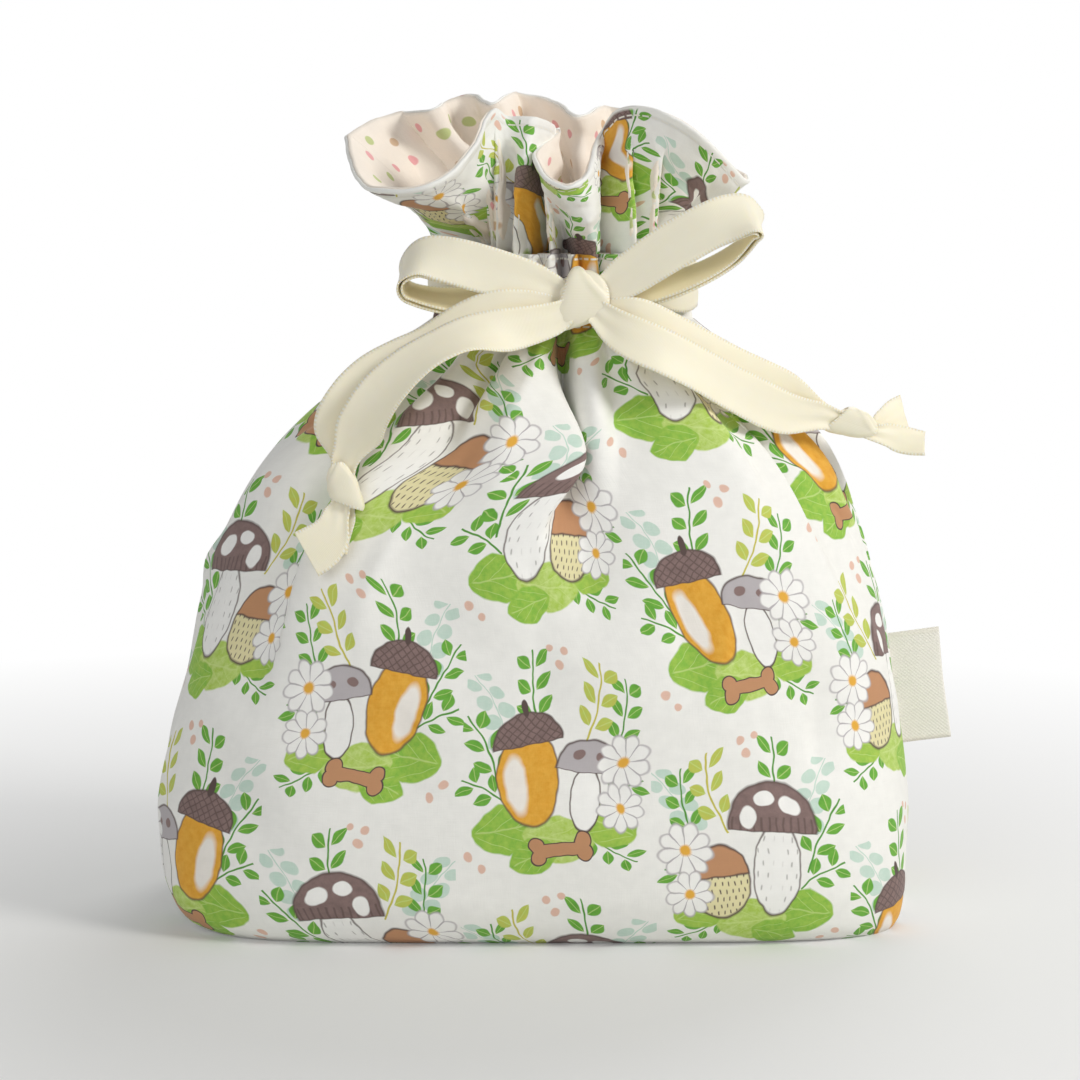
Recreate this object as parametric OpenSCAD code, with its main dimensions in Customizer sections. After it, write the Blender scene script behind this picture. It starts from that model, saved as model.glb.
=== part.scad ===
// Treat pouch: a lined cotton bag with a boxed base, gathered at the neck by two
// doubled ribbons that are tied in a bow at the front. Each ribbon's ends are knotted.
// The front faces -Y, +Z is up and the origin is the middle of the flat base.

/* [Bag] */
// Width of the flat base, between the side seams
base_w = 146; // [110:1:180]
// Depth of the boxed base, front to back
base_d = 72; // [50:1:90]
// Width of the filled bag at its fullest
belly_w = 165; // [120:1:190]
// Depth of the filled bag at its fullest
belly_d = 88; // [60:1:110]
// Height of the stitching that closes the top of the ribbon channel
neck_top = 146; // [110:1:190]
// Width of the gathered neck
neck_w = 56; // [40:1:80]
// Depth of the gathered neck, front to back
neck_d = 44; // [34:1:60]
// How far the neck stands to the right of the base
neck_shift = 6.5; // [0:0.5:12]
// Depth of the gathers at the neck
pleat_depth = 6; // [2:0.5:8]

/* [Frill] */
// Width of the open frill above the channel
frill_w = 88; // [60:1:120]
// Depth of the open frill, front to back
frill_d = 58; // [44:1:80]
// Height of the frill above the channel
frill_h = 34; // [20:1:50]
// How far the middle of the rim stands to the right of the base
frill_shift = 3; // [0:0.5:12]

/* [Cloth] */
// Thickness of the printed outer cloth
outer_t = 0.6; // [0.4:0.1:1.2]
// Thickness of the dotted lining cloth
lining_t = 0.5; // [0.3:0.1:1]
// Slack between the outer cloth and the lining
cloth_gap = 0.3; // [0.2:0.1:0.6]

/* [Ribbon] */
// Width of the satin ribbon
ribbon_w = 10; // [6:0.5:15]
// Thickness of the satin ribbon
ribbon_t = 0.5; // [0.3:0.1:0.8]
// Distance from the top stitching down to the middle of the ribbon channel
channel_drop = 7.5; // [6:0.5:12]
// Width of the bow's middle knot
bow_knot_w = 8; // [6:0.5:12]
// Height of the bow's middle knot
bow_knot_h = 12.5; // [9:0.5:16]
// Depth of the bow's middle knot, front to back
bow_knot_d = 7; // [5:0.5:10]
// How far the bow's knot stands to the right of the neck's middle
bow_shift = 3.5; // [-6:0.5:10]
// Width of the knot at the end of each doubled ribbon
end_knot_w = 6.5; // [5:0.5:10]
// Length of the knot at the end of each doubled ribbon
end_knot_h = 10; // [7:0.5:14]

/* [Tag] */
// Length of the folded tag along the side seam
tag_h = 25; // [12:1:40]
// How far the folded tag stands out of the seam
tag_w = 11.5; // [6:0.5:20]
// Thickness of the tag's tape
tag_t = 0.4; // [0.3:0.1:0.8]
// Height of the tag's middle
tag_z = 48.5; // [30:0.5:90]

/* [Hidden] */
// Gap that keeps pieces of different bodies from rubbing
body_gap = 0.3;
// Columns across the front, the back and a lining panel
front_columns = 42;
back_columns = 34;
lining_columns = 20;
// Rows of WALL that a lining panel uses
lining_rows = [0, 1, 2, 4, 6, 8, 10, 12, 13, 14, 15, 16];
// Rows up a frill, and grid steps between two stations of its rim
frill_rows = 4;
frill_steps = 2;
// Step in degrees and in millimetres that finds the slope of a cloth surface
slope_degrees = 0.5;
slope_z = 0.2;
// Half width of the slots in the side seams where the ribbons come out
slot_half = 2;

// Wall of the filled bag, from the base up:
// share of neck_top, share of the base's size, share of the neck's size, squareness
WALL = [
  [0.00, 1.00, 0.00, 5.0],
  [0.015, 0.58, 0.00, 4.6],
  [0.04, 0.28, 0.00, 4.2],
  [0.08, 0.07, 0.00, 3.9],
  [0.16, 0.00, 0.00, 3.5],
  [0.26, 0.00, 0.03, 3.2],
  [0.36, 0.00, 0.07, 3.0],
  [0.47, 0.00, 0.13, 2.8],
  [0.57, 0.00, 0.21, 2.6],
  [0.65, 0.00, 0.30, 2.4],
  [0.71, 0.00, 0.40, 2.3],
  [0.76, 0.00, 0.52, 2.2],
  [0.80, 0.00, 0.65, 2.1],
  [0.84, 0.00, 0.79, 2.0],
  [0.88, 0.00, 0.91, 2.0],
  [0.91, 0.00, 1.00, 2.0],
  [1.00, 0.00, 1.00, 2.0]
];
base_share = [for (r = WALL) [r[0], r[1]]];
neck_share = [for (r = WALL) [r[0], r[2]]];
squareness = [for (r = WALL) [r[0], r[3]]];

// Gathers, as valleys that run down from the neck: angle at the neck, angle at the
// foot, share of neck_top at the foot, share of pleat_depth, width at the neck and at
// the foot in degrees. 180 is the left seam, 270 the front and 360 the right seam.
PLEATS = [
  [190, 193, 0.74, 0.6, 3.4, 5],
  [202, 206, 0.66, 0.8, 3.4, 6],
  [214, 222, 0.58, 0.9, 3.6, 6],
  [227, 229, 0.46, 1.0, 3.8, 6],
  [240, 244, 0.70, 0.9, 3.4, 5],
  [250, 252, 0.74, 0.7, 3.0, 4],
  [259, 260, 0.78, 0.8, 3.0, 4],
  [269, 270, 0.60, 1.2, 3.8, 4],
  [279, 279, 0.76, 0.8, 3.0, 4],
  [289, 288, 0.70, 0.8, 3.4, 5],
  [300, 298, 0.76, 0.9, 3.4, 5],
  [312, 313, 0.50, 1.1, 3.8, 6],
  [325, 322, 0.68, 0.9, 3.4, 5],
  [337, 334, 0.64, 0.8, 3.6, 6],
  [349, 347, 0.74, 0.6, 3.4, 5],
  [11, 13, 0.74, 0.6, 3.4, 5],
  [24, 27, 0.62, 0.9, 3.6, 6],
  [37, 39, 0.70, 0.8, 3.4, 5],
  [50, 52, 0.54, 1.0, 3.8, 6],
  [63, 64, 0.72, 0.8, 3.4, 5],
  [76, 75, 0.62, 1.1, 3.8, 5],
  [89, 89, 0.74, 0.8, 3.4, 4],
  [102, 103, 0.66, 1.0, 3.6, 5],
  [115, 117, 0.52, 1.1, 3.8, 6],
  [128, 127, 0.72, 0.8, 3.4, 5],
  [141, 139, 0.64, 0.9, 3.6, 5],
  [154, 152, 0.56, 0.9, 3.8, 6],
  [167, 165, 0.74, 0.6, 3.4, 5]
];
// Lowest foot and largest share of depth in PLEATS, and the height share of full depth
pleat_foot_share = 0.46;
pleat_most_share = 1.2;
pleat_full_share = 0.91;

// Rim of the frill, left seam to right seam round the front, then back round the rear:
// angle at the neck, share of half frill_w, share of half frill_d, share of frill_h
FRONT_RIM = [
  [180, -1.00, 0.00, 0.71],
  [189, -0.95, -0.40, 0.53],
  [198, -0.84, -0.76, 0.38],
  [208, -0.56, -0.97, 0.41],
  [219, -0.32, -0.78, 0.65],
  [230, -0.16, -0.42, 0.88],
  [240, -0.15, -0.06, 0.78],
  [250, -0.04, -0.36, 0.85],
  [258, 0.05, -0.06, 0.74],
  [267, -0.08, -0.66, 0.60],
  [277, 0.06, -1.00, 0.42],
  [286, 0.21, -0.90, 0.49],
  [298, 0.27, -0.06, 0.76],
  [308, 0.36, -0.24, 0.90],
  [320, 0.54, -0.50, 0.88],
  [334, 0.75, -0.60, 0.71],
  [348, 0.96, -0.36, 0.45],
  [360, 1.00, 0.00, 0.46]
];
BACK_RIM = [
  [0, 1.00, 0.00, 0.46],
  [12, 0.90, 0.42, 0.54],
  [24, 0.75, 0.62, 0.70],
  [36, 0.55, 0.26, 0.76],
  [47, 0.44, 0.72, 0.88],
  [58, 0.27, 0.82, 0.91],
  [70, 0.16, 0.26, 0.86],
  [81, 0.03, 0.78, 0.97],
  [93, -0.18, 0.98, 1.00],
  [105, -0.27, 0.30, 0.94],
  [116, -0.36, 0.86, 1.00],
  [128, -0.53, 0.86, 0.94],
  [141, -0.57, 0.30, 0.90],
  [153, -0.72, 0.70, 0.88],
  [167, -0.90, 0.46, 0.80],
  [180, -1.00, 0.00, 0.71]
];

// Routes of the ribbons from the middle of the bow's knot, in millimetres:
// place, direction across the ribbon, share of ribbon_w. The ribbon narrows at a knot.
// Two ribbons run along each loop and each tail, face to face.
LEFT_LOOP_OUTER = [
  [-5.4, -1.8, 1.5, 0.2, 0.1, 1, 0.4],
  [-11, -2.8, 3.7, 0.2, 0.1, 1, 0.75],
  [-19, -4, 6, 0.2, 0.1, 1, 1],
  [-27, -4.7, 8.2, 0.15, 0.35, 1, 1],
  [-33.5, -4, 9, 0.1, 0.8, 0.9, 1],
  [-38, -2, 5.5, 0, 1, 0.5, 1],
  [-36.5, 0.6, 1, 0, 1, 0.3, 1],
  [-28, 1.6, -1, 0, 1, 0.5, 1],
  [-19, 1.8, -0.8, 0, 0.8, 0.8, 0.8],
  [-12, 1.8, 0, 0, 0.4, 1, 0.6],
  [-5.4, 1.8, 0.5, 0, 0, 1, 0.4]
];
LEFT_LOOP_INNER = [
  [-5.4, -0.8, 1.5, 0.2, 0.1, 1, 0.35],
  [-11, -1.5, 3.7, 0.2, 0.1, 1, 0.7],
  [-19, -2.3, 6, 0.2, 0.1, 1, 0.95],
  [-27, -2.8, 7.6, 0.15, 0.35, 1, 0.95],
  [-32.5, -2.2, 7.4, 0.1, 0.8, 0.9, 0.95],
  [-35.4, -1, 5, 0, 1, 0.5, 0.95],
  [-33.5, 0.3, 2.6, 0, 1, 0.3, 0.95],
  [-27, 0.6, 1, 0, 1, 0.5, 0.9],
  [-19, 0.6, 0.6, 0, 0.8, 0.8, 0.7],
  [-12, 0.7, 0.4, 0, 0.4, 1, 0.5],
  [-5.4, 0.8, 0.5, 0, 0, 1, 0.35]
];
RIGHT_LOOP_OUTER = [
  [6.2, -1.8, 1.6, -0.3, 0.1, 1, 0.4],
  [10, -2.4, 5, -0.5, 0.1, 1, 0.8],
  [19, -3.8, 11, -0.5, 0.1, 1, 1],
  [28, -4.7, 16, -0.4, 0.2, 1, 1],
  [35, -4, 18, -0.1, 0.7, 0.8, 1],
  [38, -1.5, 15, 0.1, 1, 0.4, 1],
  [33, 1.6, 9, -0.1, 1, 0.6, 1],
  [24, 1.8, 4, -0.3, 0.9, 0.8, 0.9],
  [13, 1.8, 1, -0.1, 0.4, 1, 0.6],
  [6.2, 1.8, 0.5, 0, 0, 1, 0.4]
];
RIGHT_LOOP_INNER = [
  [6.2, -0.8, 1.6, -0.3, 0.1, 1, 0.35],
  [10, -1.3, 5, -0.5, 0.1, 1, 0.75],
  [19, -2.1, 11, -0.5, 0.1, 1, 0.95],
  [27.5, -2.7, 15, -0.4, 0.2, 1, 0.95],
  [33.5, -2.1, 16.2, -0.1, 0.7, 0.8, 0.95],
  [35.4, -0.7, 14, 0.1, 1, 0.4, 0.95],
  [31, 0.5, 9.7, -0.1, 1, 0.6, 0.9],
  [23, 0.6, 5.2, -0.3, 0.9, 0.8, 0.8],
  [13, 0.7, 1.5, -0.1, 0.4, 1, 0.5],
  [6.2, 0.8, 0.5, 0, 0, 1, 0.35]
];
LEFT_TAIL = [
  [-5.6, -3.3, -3.5, 0, 0.1, 1, 0.4],
  [-14.5, -6.4, -4, 0, 0.25, 1, 0.75],
  [-23.5, -9.8, -5.5, -0.1, 0.8, 0.8, 1],
  [-30.5, -12.2, -8.5, -0.4, 0.95, 0.65, 1],
  [-36.5, -13.4, -12, -0.8, 0.8, 0.55, 1],
  [-42, -14, -16.5, -1, 0.5, 0.5, 1],
  [-46, -13.8, -21.5, -1, 0.2, 0.25, 1],
  [-48.5, -12.6, -27, -1, 0.1, 0, 1],
  [-49.3, -11, -33.6, -1, 0, 0, 0.5]
];
RIGHT_TAIL = [
  [5.6, -3.3, -3.5, 0, 0.1, 1, 0.4],
  [11, -4.4, -5.8, 0.15, 0.2, 1, 0.8],
  [18, -3.8, -9, 0.35, 0.5, 1, 1],
  [25.5, -1.2, -13, 0.45, 0.6, 1, 1],
  [32.5, 2.2, -17, 0.4, 0.5, 1, 1],
  [43.5, 7.2, -22.5, 0.35, 0.3, 1, 1],
  [54, 11, -27, 0.25, 0, 1, 0.5]
];
LEFT_CUT_FRONT = [
  [-50.5, -12, -43.4, -1, 0, 0.3, 0.5],
  [-53, -12.5, -47, -0.9, 0, 0.6, 0.8],
  [-58, -13, -50, -0.6, 0, 1, 1]
];
LEFT_CUT_REAR = [
  [-49.5, -10.4, -43.4, -1, 0, 0.3, 0.5],
  [-50, -10.8, -48, -1, 0, 0.2, 0.7],
  [-51, -11.5, -52, -0.9, 0, 0.2, 0.85]
];
RIGHT_CUT_FRONT = [
  [64, 11, -30.2, 0.1, 0.3, 1, 0.4],
  [69, 12, -31, 0.1, 0.5, 1, 0.6],
  [75, 12, -32, 0.1, 0.8, 0.6, 0.7]
];
RIGHT_CUT_REAR = [
  [64.2, 13, -28, 0, 0.3, 1, 0.4],
  [68, 15, -27, 0, 0.5, 1, 0.7],
  [72, 16.5, -27, 0, 0.6, 1, 0.8]
];
// Middles of the knots at the ends of the ribbons, from the middle of the bow's knot
LEFT_END = [-49.5, -11, -38.5];
RIGHT_END = [59, 12, -27.5];

// Height of the middle of the channel, and thickness of a doubled ribbon
channel_z = neck_top - channel_drop;
lead_t = 2 * ribbon_t;
// Middle of the bow's knot, which lies on the front of the neck
bow_x = neck_shift + bow_shift;
bow_y = -neck_d / 2 - body_gap - bow_knot_d / 2;
bow_z = channel_z - 1.5;
// Depth of the knots at the ends of the ribbons
end_knot_d = 5;
// How far the two ribbons of a tail lie apart, across their faces and sideways
tail_gap = 1.7;
tail_slide = 3;
// Gap that lets the tag swing at the seam
tag_gap = 0.6;
// Half the distance between the ends of a drawstring where they leave the seam
end_apart = 1.2;

// ---- Small helpers

function unit(v) = v / norm(v);
function clamp(t) = max(0, min(1, t));
function smooth(t) = let (c = clamp(t)) c * c * (3 - 2 * c);
function turn_gap(a, b) = (a - b + 540) % 360 - 180;

// Point on the smooth curve through the rows of a table, t of the way past row i
function curve_at(p, i, t) =
  let (
    last = len(p) - 1,
    p0 = p[max(i - 1, 0)],
    p1 = p[i],
    p2 = p[min(i + 1, last)],
    p3 = p[min(i + 2, last)]
  )
  0.5 * (2 * p1 + (p2 - p0) * t + (2 * p0 - 5 * p1 + 4 * p2 - p3) * t * t
    + (3 * p1 - p0 - 3 * p2 + p3) * t * t * t);

function curve(p, steps) = [
  for (i = [0:len(p) - 2])
    for (j = [0:steps - 1])
      curve_at(p, i, j / steps),
  p[len(p) - 1]
];

// ---- Shape of the gathered bag

// Depth of all gathers at angle a and share h of the height
function gather(a, h) = [
  for (p = PLEATS)
    let (t = clamp((h - p[2]) / (pleat_full_share - p[2])))
    let (off = turn_gap(a, p[1] + (p[0] - p[1]) * t))
    let (w = p[5] + (p[4] - p[5]) * t)
    p[3] * smooth(t) * exp(-off * off / (w * w))
] * [for (p = PLEATS) 1];

// Outer face of the wall at angle a and height z, drawn in by pull.
// With folds = 0 the wall is plain.
function wall_point(a, z, folds = 1, pull = 0) =
  let (
    h = z / neck_top,
    b = lookup(h, base_share),
    k = lookup(h, neck_share),
    n = lookup(h, squareness),
    half_w = (belly_w + (base_w - belly_w) * b + (neck_w - belly_w) * k) / 2,
    half_d = (belly_d + (base_d - belly_d) * b + (neck_d - belly_d) * k) / 2,
    bulge = pow(pow(abs(cos(a)), n) + pow(abs(sin(a)), n), -1 / n),
    fold = pull + (folds == 0 ? 0 : pleat_depth * folds * gather(a, h))
  )
  [
    neck_shift * pow(k, 0.65) + (half_w * bulge - fold) * cos(a),
    (half_d * bulge - fold) * sin(a),
    z
  ];

// Outward direction of the wall
function wall_out(a, z, folds = 1) =
  let (
    low = max(z - slope_z, 0),
    high = min(z + slope_z, neck_top),
    across = wall_point(a + slope_degrees, z, folds) - wall_point(a - slope_degrees, z, folds),
    up = wall_point(a, high, folds) - wall_point(a, low, folds)
  )
  unit(cross(across, up));

// Wall point moved inwards by a thickness
function wall_inside(a, z, inset, folds = 1, pull = 0) =
  wall_point(a, z, folds, pull) - wall_out(a, z, folds) * inset;

// Room between outer cloth and lining for the gathers, and for a ribbon in the channel
function gather_room(z) =
  let (h = z / neck_top)
  pleat_depth * pleat_most_share
    * smooth((h - pleat_foot_share) / (pleat_full_share - pleat_foot_share))
  + (lead_t + cloth_gap) * smooth((h - 0.75) / 0.15);

// ---- Solids from grids and sections

// Closed sheet between an outer and an inner grid of the same size
module sheet(outer, inner) {
  nc = len(outer);
  nr = len(outer[0]);
  back = nc * nr;
  points = concat([for (c = outer) for (p = c) p], [for (c = inner) for (p = c) p]);
  faces = concat(
    [for (i = [0:nc - 2]) for (j = [0:nr - 2]) let (k = i * nr + j) [k, k + 1, k + nr]],
    [for (i = [0:nc - 2]) for (j = [0:nr - 2]) let (k = i * nr + j) [k + 1, k + nr + 1, k + nr]],
    [for (i = [0:nc - 2]) for (j = [0:nr - 2]) let (k = back + i * nr + j) [k, k + nr, k + 1]],
    [for (i = [0:nc - 2]) for (j = [0:nr - 2]) let (k = back + i * nr + j) [k + 1, k + nr, k + nr + 1]],
    [for (i = [0:nc - 2]) let (k = i * nr) [k, k + nr, back + k + nr]],
    [for (i = [0:nc - 2]) let (k = i * nr) [k, back + k + nr, back + k]],
    [for (i = [0:nc - 2]) let (k = i * nr + nr - 1) [k, back + k + nr, k + nr]],
    [for (i = [0:nc - 2]) let (k = i * nr + nr - 1) [k, back + k, back + k + nr]],
    [for (j = [0:nr - 2]) [j, back + j, j + 1]],
    [for (j = [0:nr - 2]) [j + 1, back + j, back + j + 1]],
    [for (j = [0:nr - 2]) let (k = (nc - 1) * nr + j) [k, k + 1, back + k]],
    [for (j = [0:nr - 2]) let (k = (nc - 1) * nr + j) [k + 1, back + k + 1, back + k]]
  );
  polyhedron(points = points, faces = faces, convexity = 10);
}

// Flat ribbon swept along a route, moved across its face by off and sideways by slide
module ribbon(route, steps = 3, off = 0, slide = 0) {
  rows = curve(route, steps);
  last = len(rows) - 1;
  sections = [
    for (i = [0:last])
      let (
        place = [rows[i][0], rows[i][1], rows[i][2]],
        before = rows[max(i - 1, 0)],
        after = rows[min(i + 1, last)],
        along = unit([after[0] - before[0], after[1] - before[1], after[2] - before[2]]),
        side = [rows[i][3], rows[i][4], rows[i][5]],
        across = unit(side - along * (side * along)),
        out = cross(along, across),
        half = across * ribbon_w * rows[i][6] / 2,
        aside = across * slide * smooth(2 * rows[i][6] - 1),
        low = out * (off - ribbon_t / 2),
        high = out * (off + ribbon_t / 2)
      )
      [for (c = [half + high, half + low, low - half, high - half]) place + aside + c]
  ];
  points = [for (s = sections) for (p = s) p];
  faces = concat(
    [[2, 1, 0], [3, 2, 0]],
    [for (i = [0:last - 1]) for (j = [0:3])
      let (a = 4 * i + j, b = 4 * i + (j + 1) % 4) j < 3 ? [a, b + 4, a + 4] : [a, b, a + 4]],
    [for (i = [0:last - 1]) for (j = [0:3])
      let (a = 4 * i + j, b = 4 * i + (j + 1) % 4) j < 3 ? [a, b, b + 4] : [b, b + 4, a + 4]],
    [[4 * last, 4 * last + 1, 4 * last + 2], [4 * last, 4 * last + 2, 4 * last + 3]]
  );
  polyhedron(points = points, faces = faces, convexity = 6);
}

// Outline of a band of thickness t along flat points
function band(points, t) =
  let (
    last = len(points) - 1,
    sides = [
      for (i = [0:last])
        let (d = unit(points[min(i + 1, last)] - points[max(i - 1, 0)]))
        [-d[1], d[0]] * t / 2
    ]
  )
  concat(
    [for (i = [0:last]) points[i] + sides[i]],
    [for (i = [last:-1:0]) points[i] - sides[i]]
  );

// ---- Panels

// One outer panel: its wall from the base to the channel, half of the base,
// and half of each slot where a ribbon leaves the channel
module outer_panel(from, columns) {
  heights = [for (r = WALL) r[0] * neck_top];
  angles = [for (i = [0:columns]) from + 180 * i / columns];
  difference() {
    union() {
      sheet(
        [for (a = angles) [for (z = heights) wall_point(a, z)]],
        [for (a = angles) [for (z = heights) wall_inside(a, z, outer_t)]]
      );
      linear_extrude(outer_t)
        polygon([for (a = angles) let (p = wall_point(a, 0)) [p[0], p[1]]]);
    }
    for (side = [-1, 1])
      translate([neck_shift + side * neck_w / 2, 0, channel_z])
        cube([neck_w / 3, 2 * slot_half, ribbon_w + 2], center = true);
  }
}

// One lining panel inside the outer one, smooth where the outer cloth is gathered
module lining_panel(from) {
  rows = [for (i = lining_rows) WALL[i][0] * neck_top];
  angles = [for (i = [0:lining_columns]) from + 180 * i / lining_columns];
  inset = outer_t + cloth_gap;
  union() {
    sheet(
      [for (a = angles) [for (z = rows) wall_inside(a, z, inset, 0, gather_room(z))]],
      [for (a = angles) [for (z = rows) wall_inside(a, z, inset + lining_t, 0, gather_room(z))]]
    );
    translate([0, 0, inset])
      linear_extrude(lining_t)
        polygon([for (a = angles) let (p = wall_inside(a, 0, inset + lining_t / 2, 0)) [p[0], p[1]]]);
  }
}

module outer_front_panel() {
  color("#F3F1EA") outer_panel(180, front_columns);
}

module outer_back_panel() {
  color("#F3F1EA") outer_panel(0, back_columns);
}

module lining_front_panel() {
  color("#F6E9DC") lining_panel(180);
}

module lining_back_panel() {
  color("#F6E9DC") lining_panel(0);
}

// ---- Frill

// Outer face of a frill, share v of the way from the neck to the rim at a rim row.
// Side is -1 on the front half and 1 on the back half, which stay a body_gap apart.
function frill_point(row, v, side) =
  let (
    neck = wall_point(row[0], neck_top),
    rim = [frill_shift + row[1] * frill_w / 2, row[2] * frill_d / 2, row[3] * frill_h]
  )
  [
    neck[0] + (rim[0] - neck[0]) * v,
    neck[1] + (rim[1] - neck[1]) * v + side * body_gap / 2,
    neck_top + body_gap + rim[2] * v
  ];

// Frill point of grid column i, moved inwards by a thickness, and along X at a seam
function frill_inside(rows, i, v, side, inset) =
  let (
    last = len(rows) - 1,
    ahead = frill_point(rows[min(i + 1, last)], v, side),
    behind = frill_point(rows[max(i - 1, 0)], v, side),
    seam = i == 0 || i == last,
    along = seam ? [0, sign(rows[i][1]), 0] : ahead - behind,
    out = unit([along[1], -along[0], 0])
  )
  frill_point(rows[i], v, side) - out * inset;

// One cloth of a frill half, between two depths from the frill's outer face
module frill(table, side, from, to) {
  rows = curve(table, frill_steps);
  shares = [for (j = [0:frill_rows]) j / frill_rows];
  sheet(
    [for (i = [0:len(rows) - 1]) [for (v = shares) frill_inside(rows, i, v, side, from)]],
    [for (i = [0:len(rows) - 1]) [for (v = shares) frill_inside(rows, i, v, side, to)]]
  );
}

module front_frill_outer() {
  color("#F3F1EA") frill(FRONT_RIM, -1, 0, outer_t);
}

module front_frill_lining() {
  inset = outer_t + cloth_gap;
  color("#F6E9DC") frill(FRONT_RIM, -1, inset, inset + lining_t);
}

module back_frill_outer() {
  color("#F3F1EA") frill(BACK_RIM, 1, 0, outer_t);
}

module back_frill_lining() {
  inset = outer_t + cloth_gap;
  color("#F6E9DC") frill(BACK_RIM, 1, inset, inset + lining_t);
}

// ---- Ribbons

// Ribbon in the channel, folded in half along its length: in at one side seam, round
// the neck and out again. The left one lies below the right one.
module drawstring(side) {
  inset = outer_t + cloth_gap + pleat_depth * pleat_most_share + lead_t / 2;
  height = ribbon_w / 2 - cloth_gap;
  low = side < 0 ? -ribbon_w / 2 : cloth_gap;
  out_x = neck_shift + side * (neck_w / 2 + body_gap / 2);
  seam_a = side < 0 ? 180 : 0;
  gap = 5;
  steps = 40;
  run = [
    for (i = [0:steps])
      let (p = wall_point(seam_a + gap + (360 - 2 * gap) * i / steps, neck_top, 0, inset))
      [p[0], p[1]]
  ];
  translate([0, 0, channel_z + low])
    linear_extrude(height)
      polygon(band(concat([[out_x, side * end_apart]], run, [[out_x, -side * end_apart]]), lead_t));
}

// Doubled ribbon on the outside of the neck, from a side seam to the bow's knot
module lead(side) {
  half_w = neck_w / 2 + body_gap + lead_t / 2;
  half_d = neck_d / 2 + body_gap + lead_t / 2;
  end_x = side * (bow_shift + side * (bow_knot_w / 2 + 0.2));
  end_a = acos(end_x / half_w);
  steps = 12;
  points = [
    for (i = [0:steps])
      let (a = end_a * i / steps)
      [side * half_w * cos(a), -half_d * sin(a)]
  ];
  translate([neck_shift, 0, channel_z - ribbon_w / 2])
    linear_extrude(ribbon_w)
      polygon(band(points, lead_t));
}

// Knot with its axis along X: a barrel with flat cheeks, pressed flat front and back
module knot(width, height, depth) {
  cheek = height * 0.42;
  bulge = height / 2 - cheek;
  radius = (width * width / 4 + bulge * bulge) / (2 * bulge);
  intersection() {
    rotate([0, 90, 0])
      rotate_extrude($fn = 32)
        intersection() {
          translate([height / 2 - radius, 0])
            circle(radius, $fn = 64);
          translate([0, -width / 2])
            square([height / 2, width]);
        }
    cube([width, depth, height], center = true);
  }
}

module at_bow() {
  translate([bow_x, bow_y, bow_z]) children();
}

module left_drawstring() {
  color("#EDE7CC") drawstring(-1);
}

module right_drawstring() {
  color("#EDE7CC") drawstring(1);
}

module left_lead() {
  color("#EDE7CC") lead(-1);
}

module right_lead() {
  color("#EDE7CC") lead(1);
}

module bow_knot() {
  color("#F1ECD4") at_bow() knot(bow_knot_w, bow_knot_h, bow_knot_d);
}

module left_loop_outer() {
  color("#EDE7CC") at_bow() ribbon(LEFT_LOOP_OUTER);
}

module left_loop_inner() {
  color("#E6DBA8") at_bow() ribbon(LEFT_LOOP_INNER);
}

module right_loop_outer() {
  color("#EDE7CC") at_bow() ribbon(RIGHT_LOOP_OUTER);
}

module right_loop_inner() {
  color("#E6DBA8") at_bow() ribbon(RIGHT_LOOP_INNER);
}

module left_tail_front() {
  color("#EDE7CC") at_bow() ribbon(LEFT_TAIL, 2, -tail_gap / 2, -tail_slide / 2);
}

module left_tail_rear() {
  color("#EDE7CC") at_bow() ribbon(LEFT_TAIL, 2, tail_gap / 2, tail_slide / 2);
}

module left_end_knot() {
  color("#F1ECD4")
    at_bow() translate(LEFT_END) rotate([0, 12, 0]) knot(end_knot_w, end_knot_h, end_knot_d);
}

module left_cut_front() {
  color("#EDE7CC") at_bow() ribbon(LEFT_CUT_FRONT, 2);
}

module left_cut_rear() {
  color("#E6DBA8") at_bow() ribbon(LEFT_CUT_REAR, 2);
}

module right_tail_front() {
  color("#EDE7CC") at_bow() ribbon(RIGHT_TAIL, 2, tail_gap / 2, -tail_slide / 2);
}

module right_tail_rear() {
  color("#EDE7CC") at_bow() ribbon(RIGHT_TAIL, 2, -tail_gap / 2, tail_slide / 2);
}

module right_end_knot() {
  color("#F1ECD4")
    at_bow() translate(RIGHT_END) rotate([0, 18, 0]) knot(end_knot_h, end_knot_w, end_knot_d);
}

module right_cut_front() {
  color("#EDE7CC") at_bow() ribbon(RIGHT_CUT_FRONT, 2);
}

module right_cut_rear() {
  color("#E6DBA8") at_bow() ribbon(RIGHT_CUT_REAR, 2);
}

// ---- Tag

// Blank tape folded in half and caught in the right side seam
module side_tag() {
  seam = wall_point(360, tag_z, 0);
  low = wall_point(360, tag_z - tag_h / 2, 0);
  high = wall_point(360, tag_z + tag_h / 2, 0);
  slant = atan((low[0] - high[0]) / tag_h);
  slit = tag_t / 4;
  half = tag_t + slit / 2;
  color("#F7F5EF")
    translate(seam)
      rotate([0, -slant, 0])
        translate([tag_gap, 0, -tag_h / 2])
          linear_extrude(tag_h)
            difference() {
              union() {
                translate([0, -half])
                  square([tag_w - half, 2 * half]);
                translate([tag_w - half, 0])
                  circle(half, $fn = 24);
              }
              translate([-1, -slit / 2])
                square([tag_w - half + 1, slit]);
            }
}

outer_front_panel();
outer_back_panel();
lining_front_panel();
lining_back_panel();
left_drawstring();
right_drawstring();
left_lead();
right_lead();
bow_knot();
front_frill_outer();
front_frill_lining();
back_frill_outer();
back_frill_lining();
left_loop_outer();
left_loop_inner();
right_loop_outer();
right_loop_inner();
left_tail_front();
left_tail_rear();
left_end_knot();
left_cut_front();
left_cut_rear();
right_tail_front();
right_tail_rear();
right_end_knot();
right_cut_front();
right_cut_rear();
side_tag();
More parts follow.
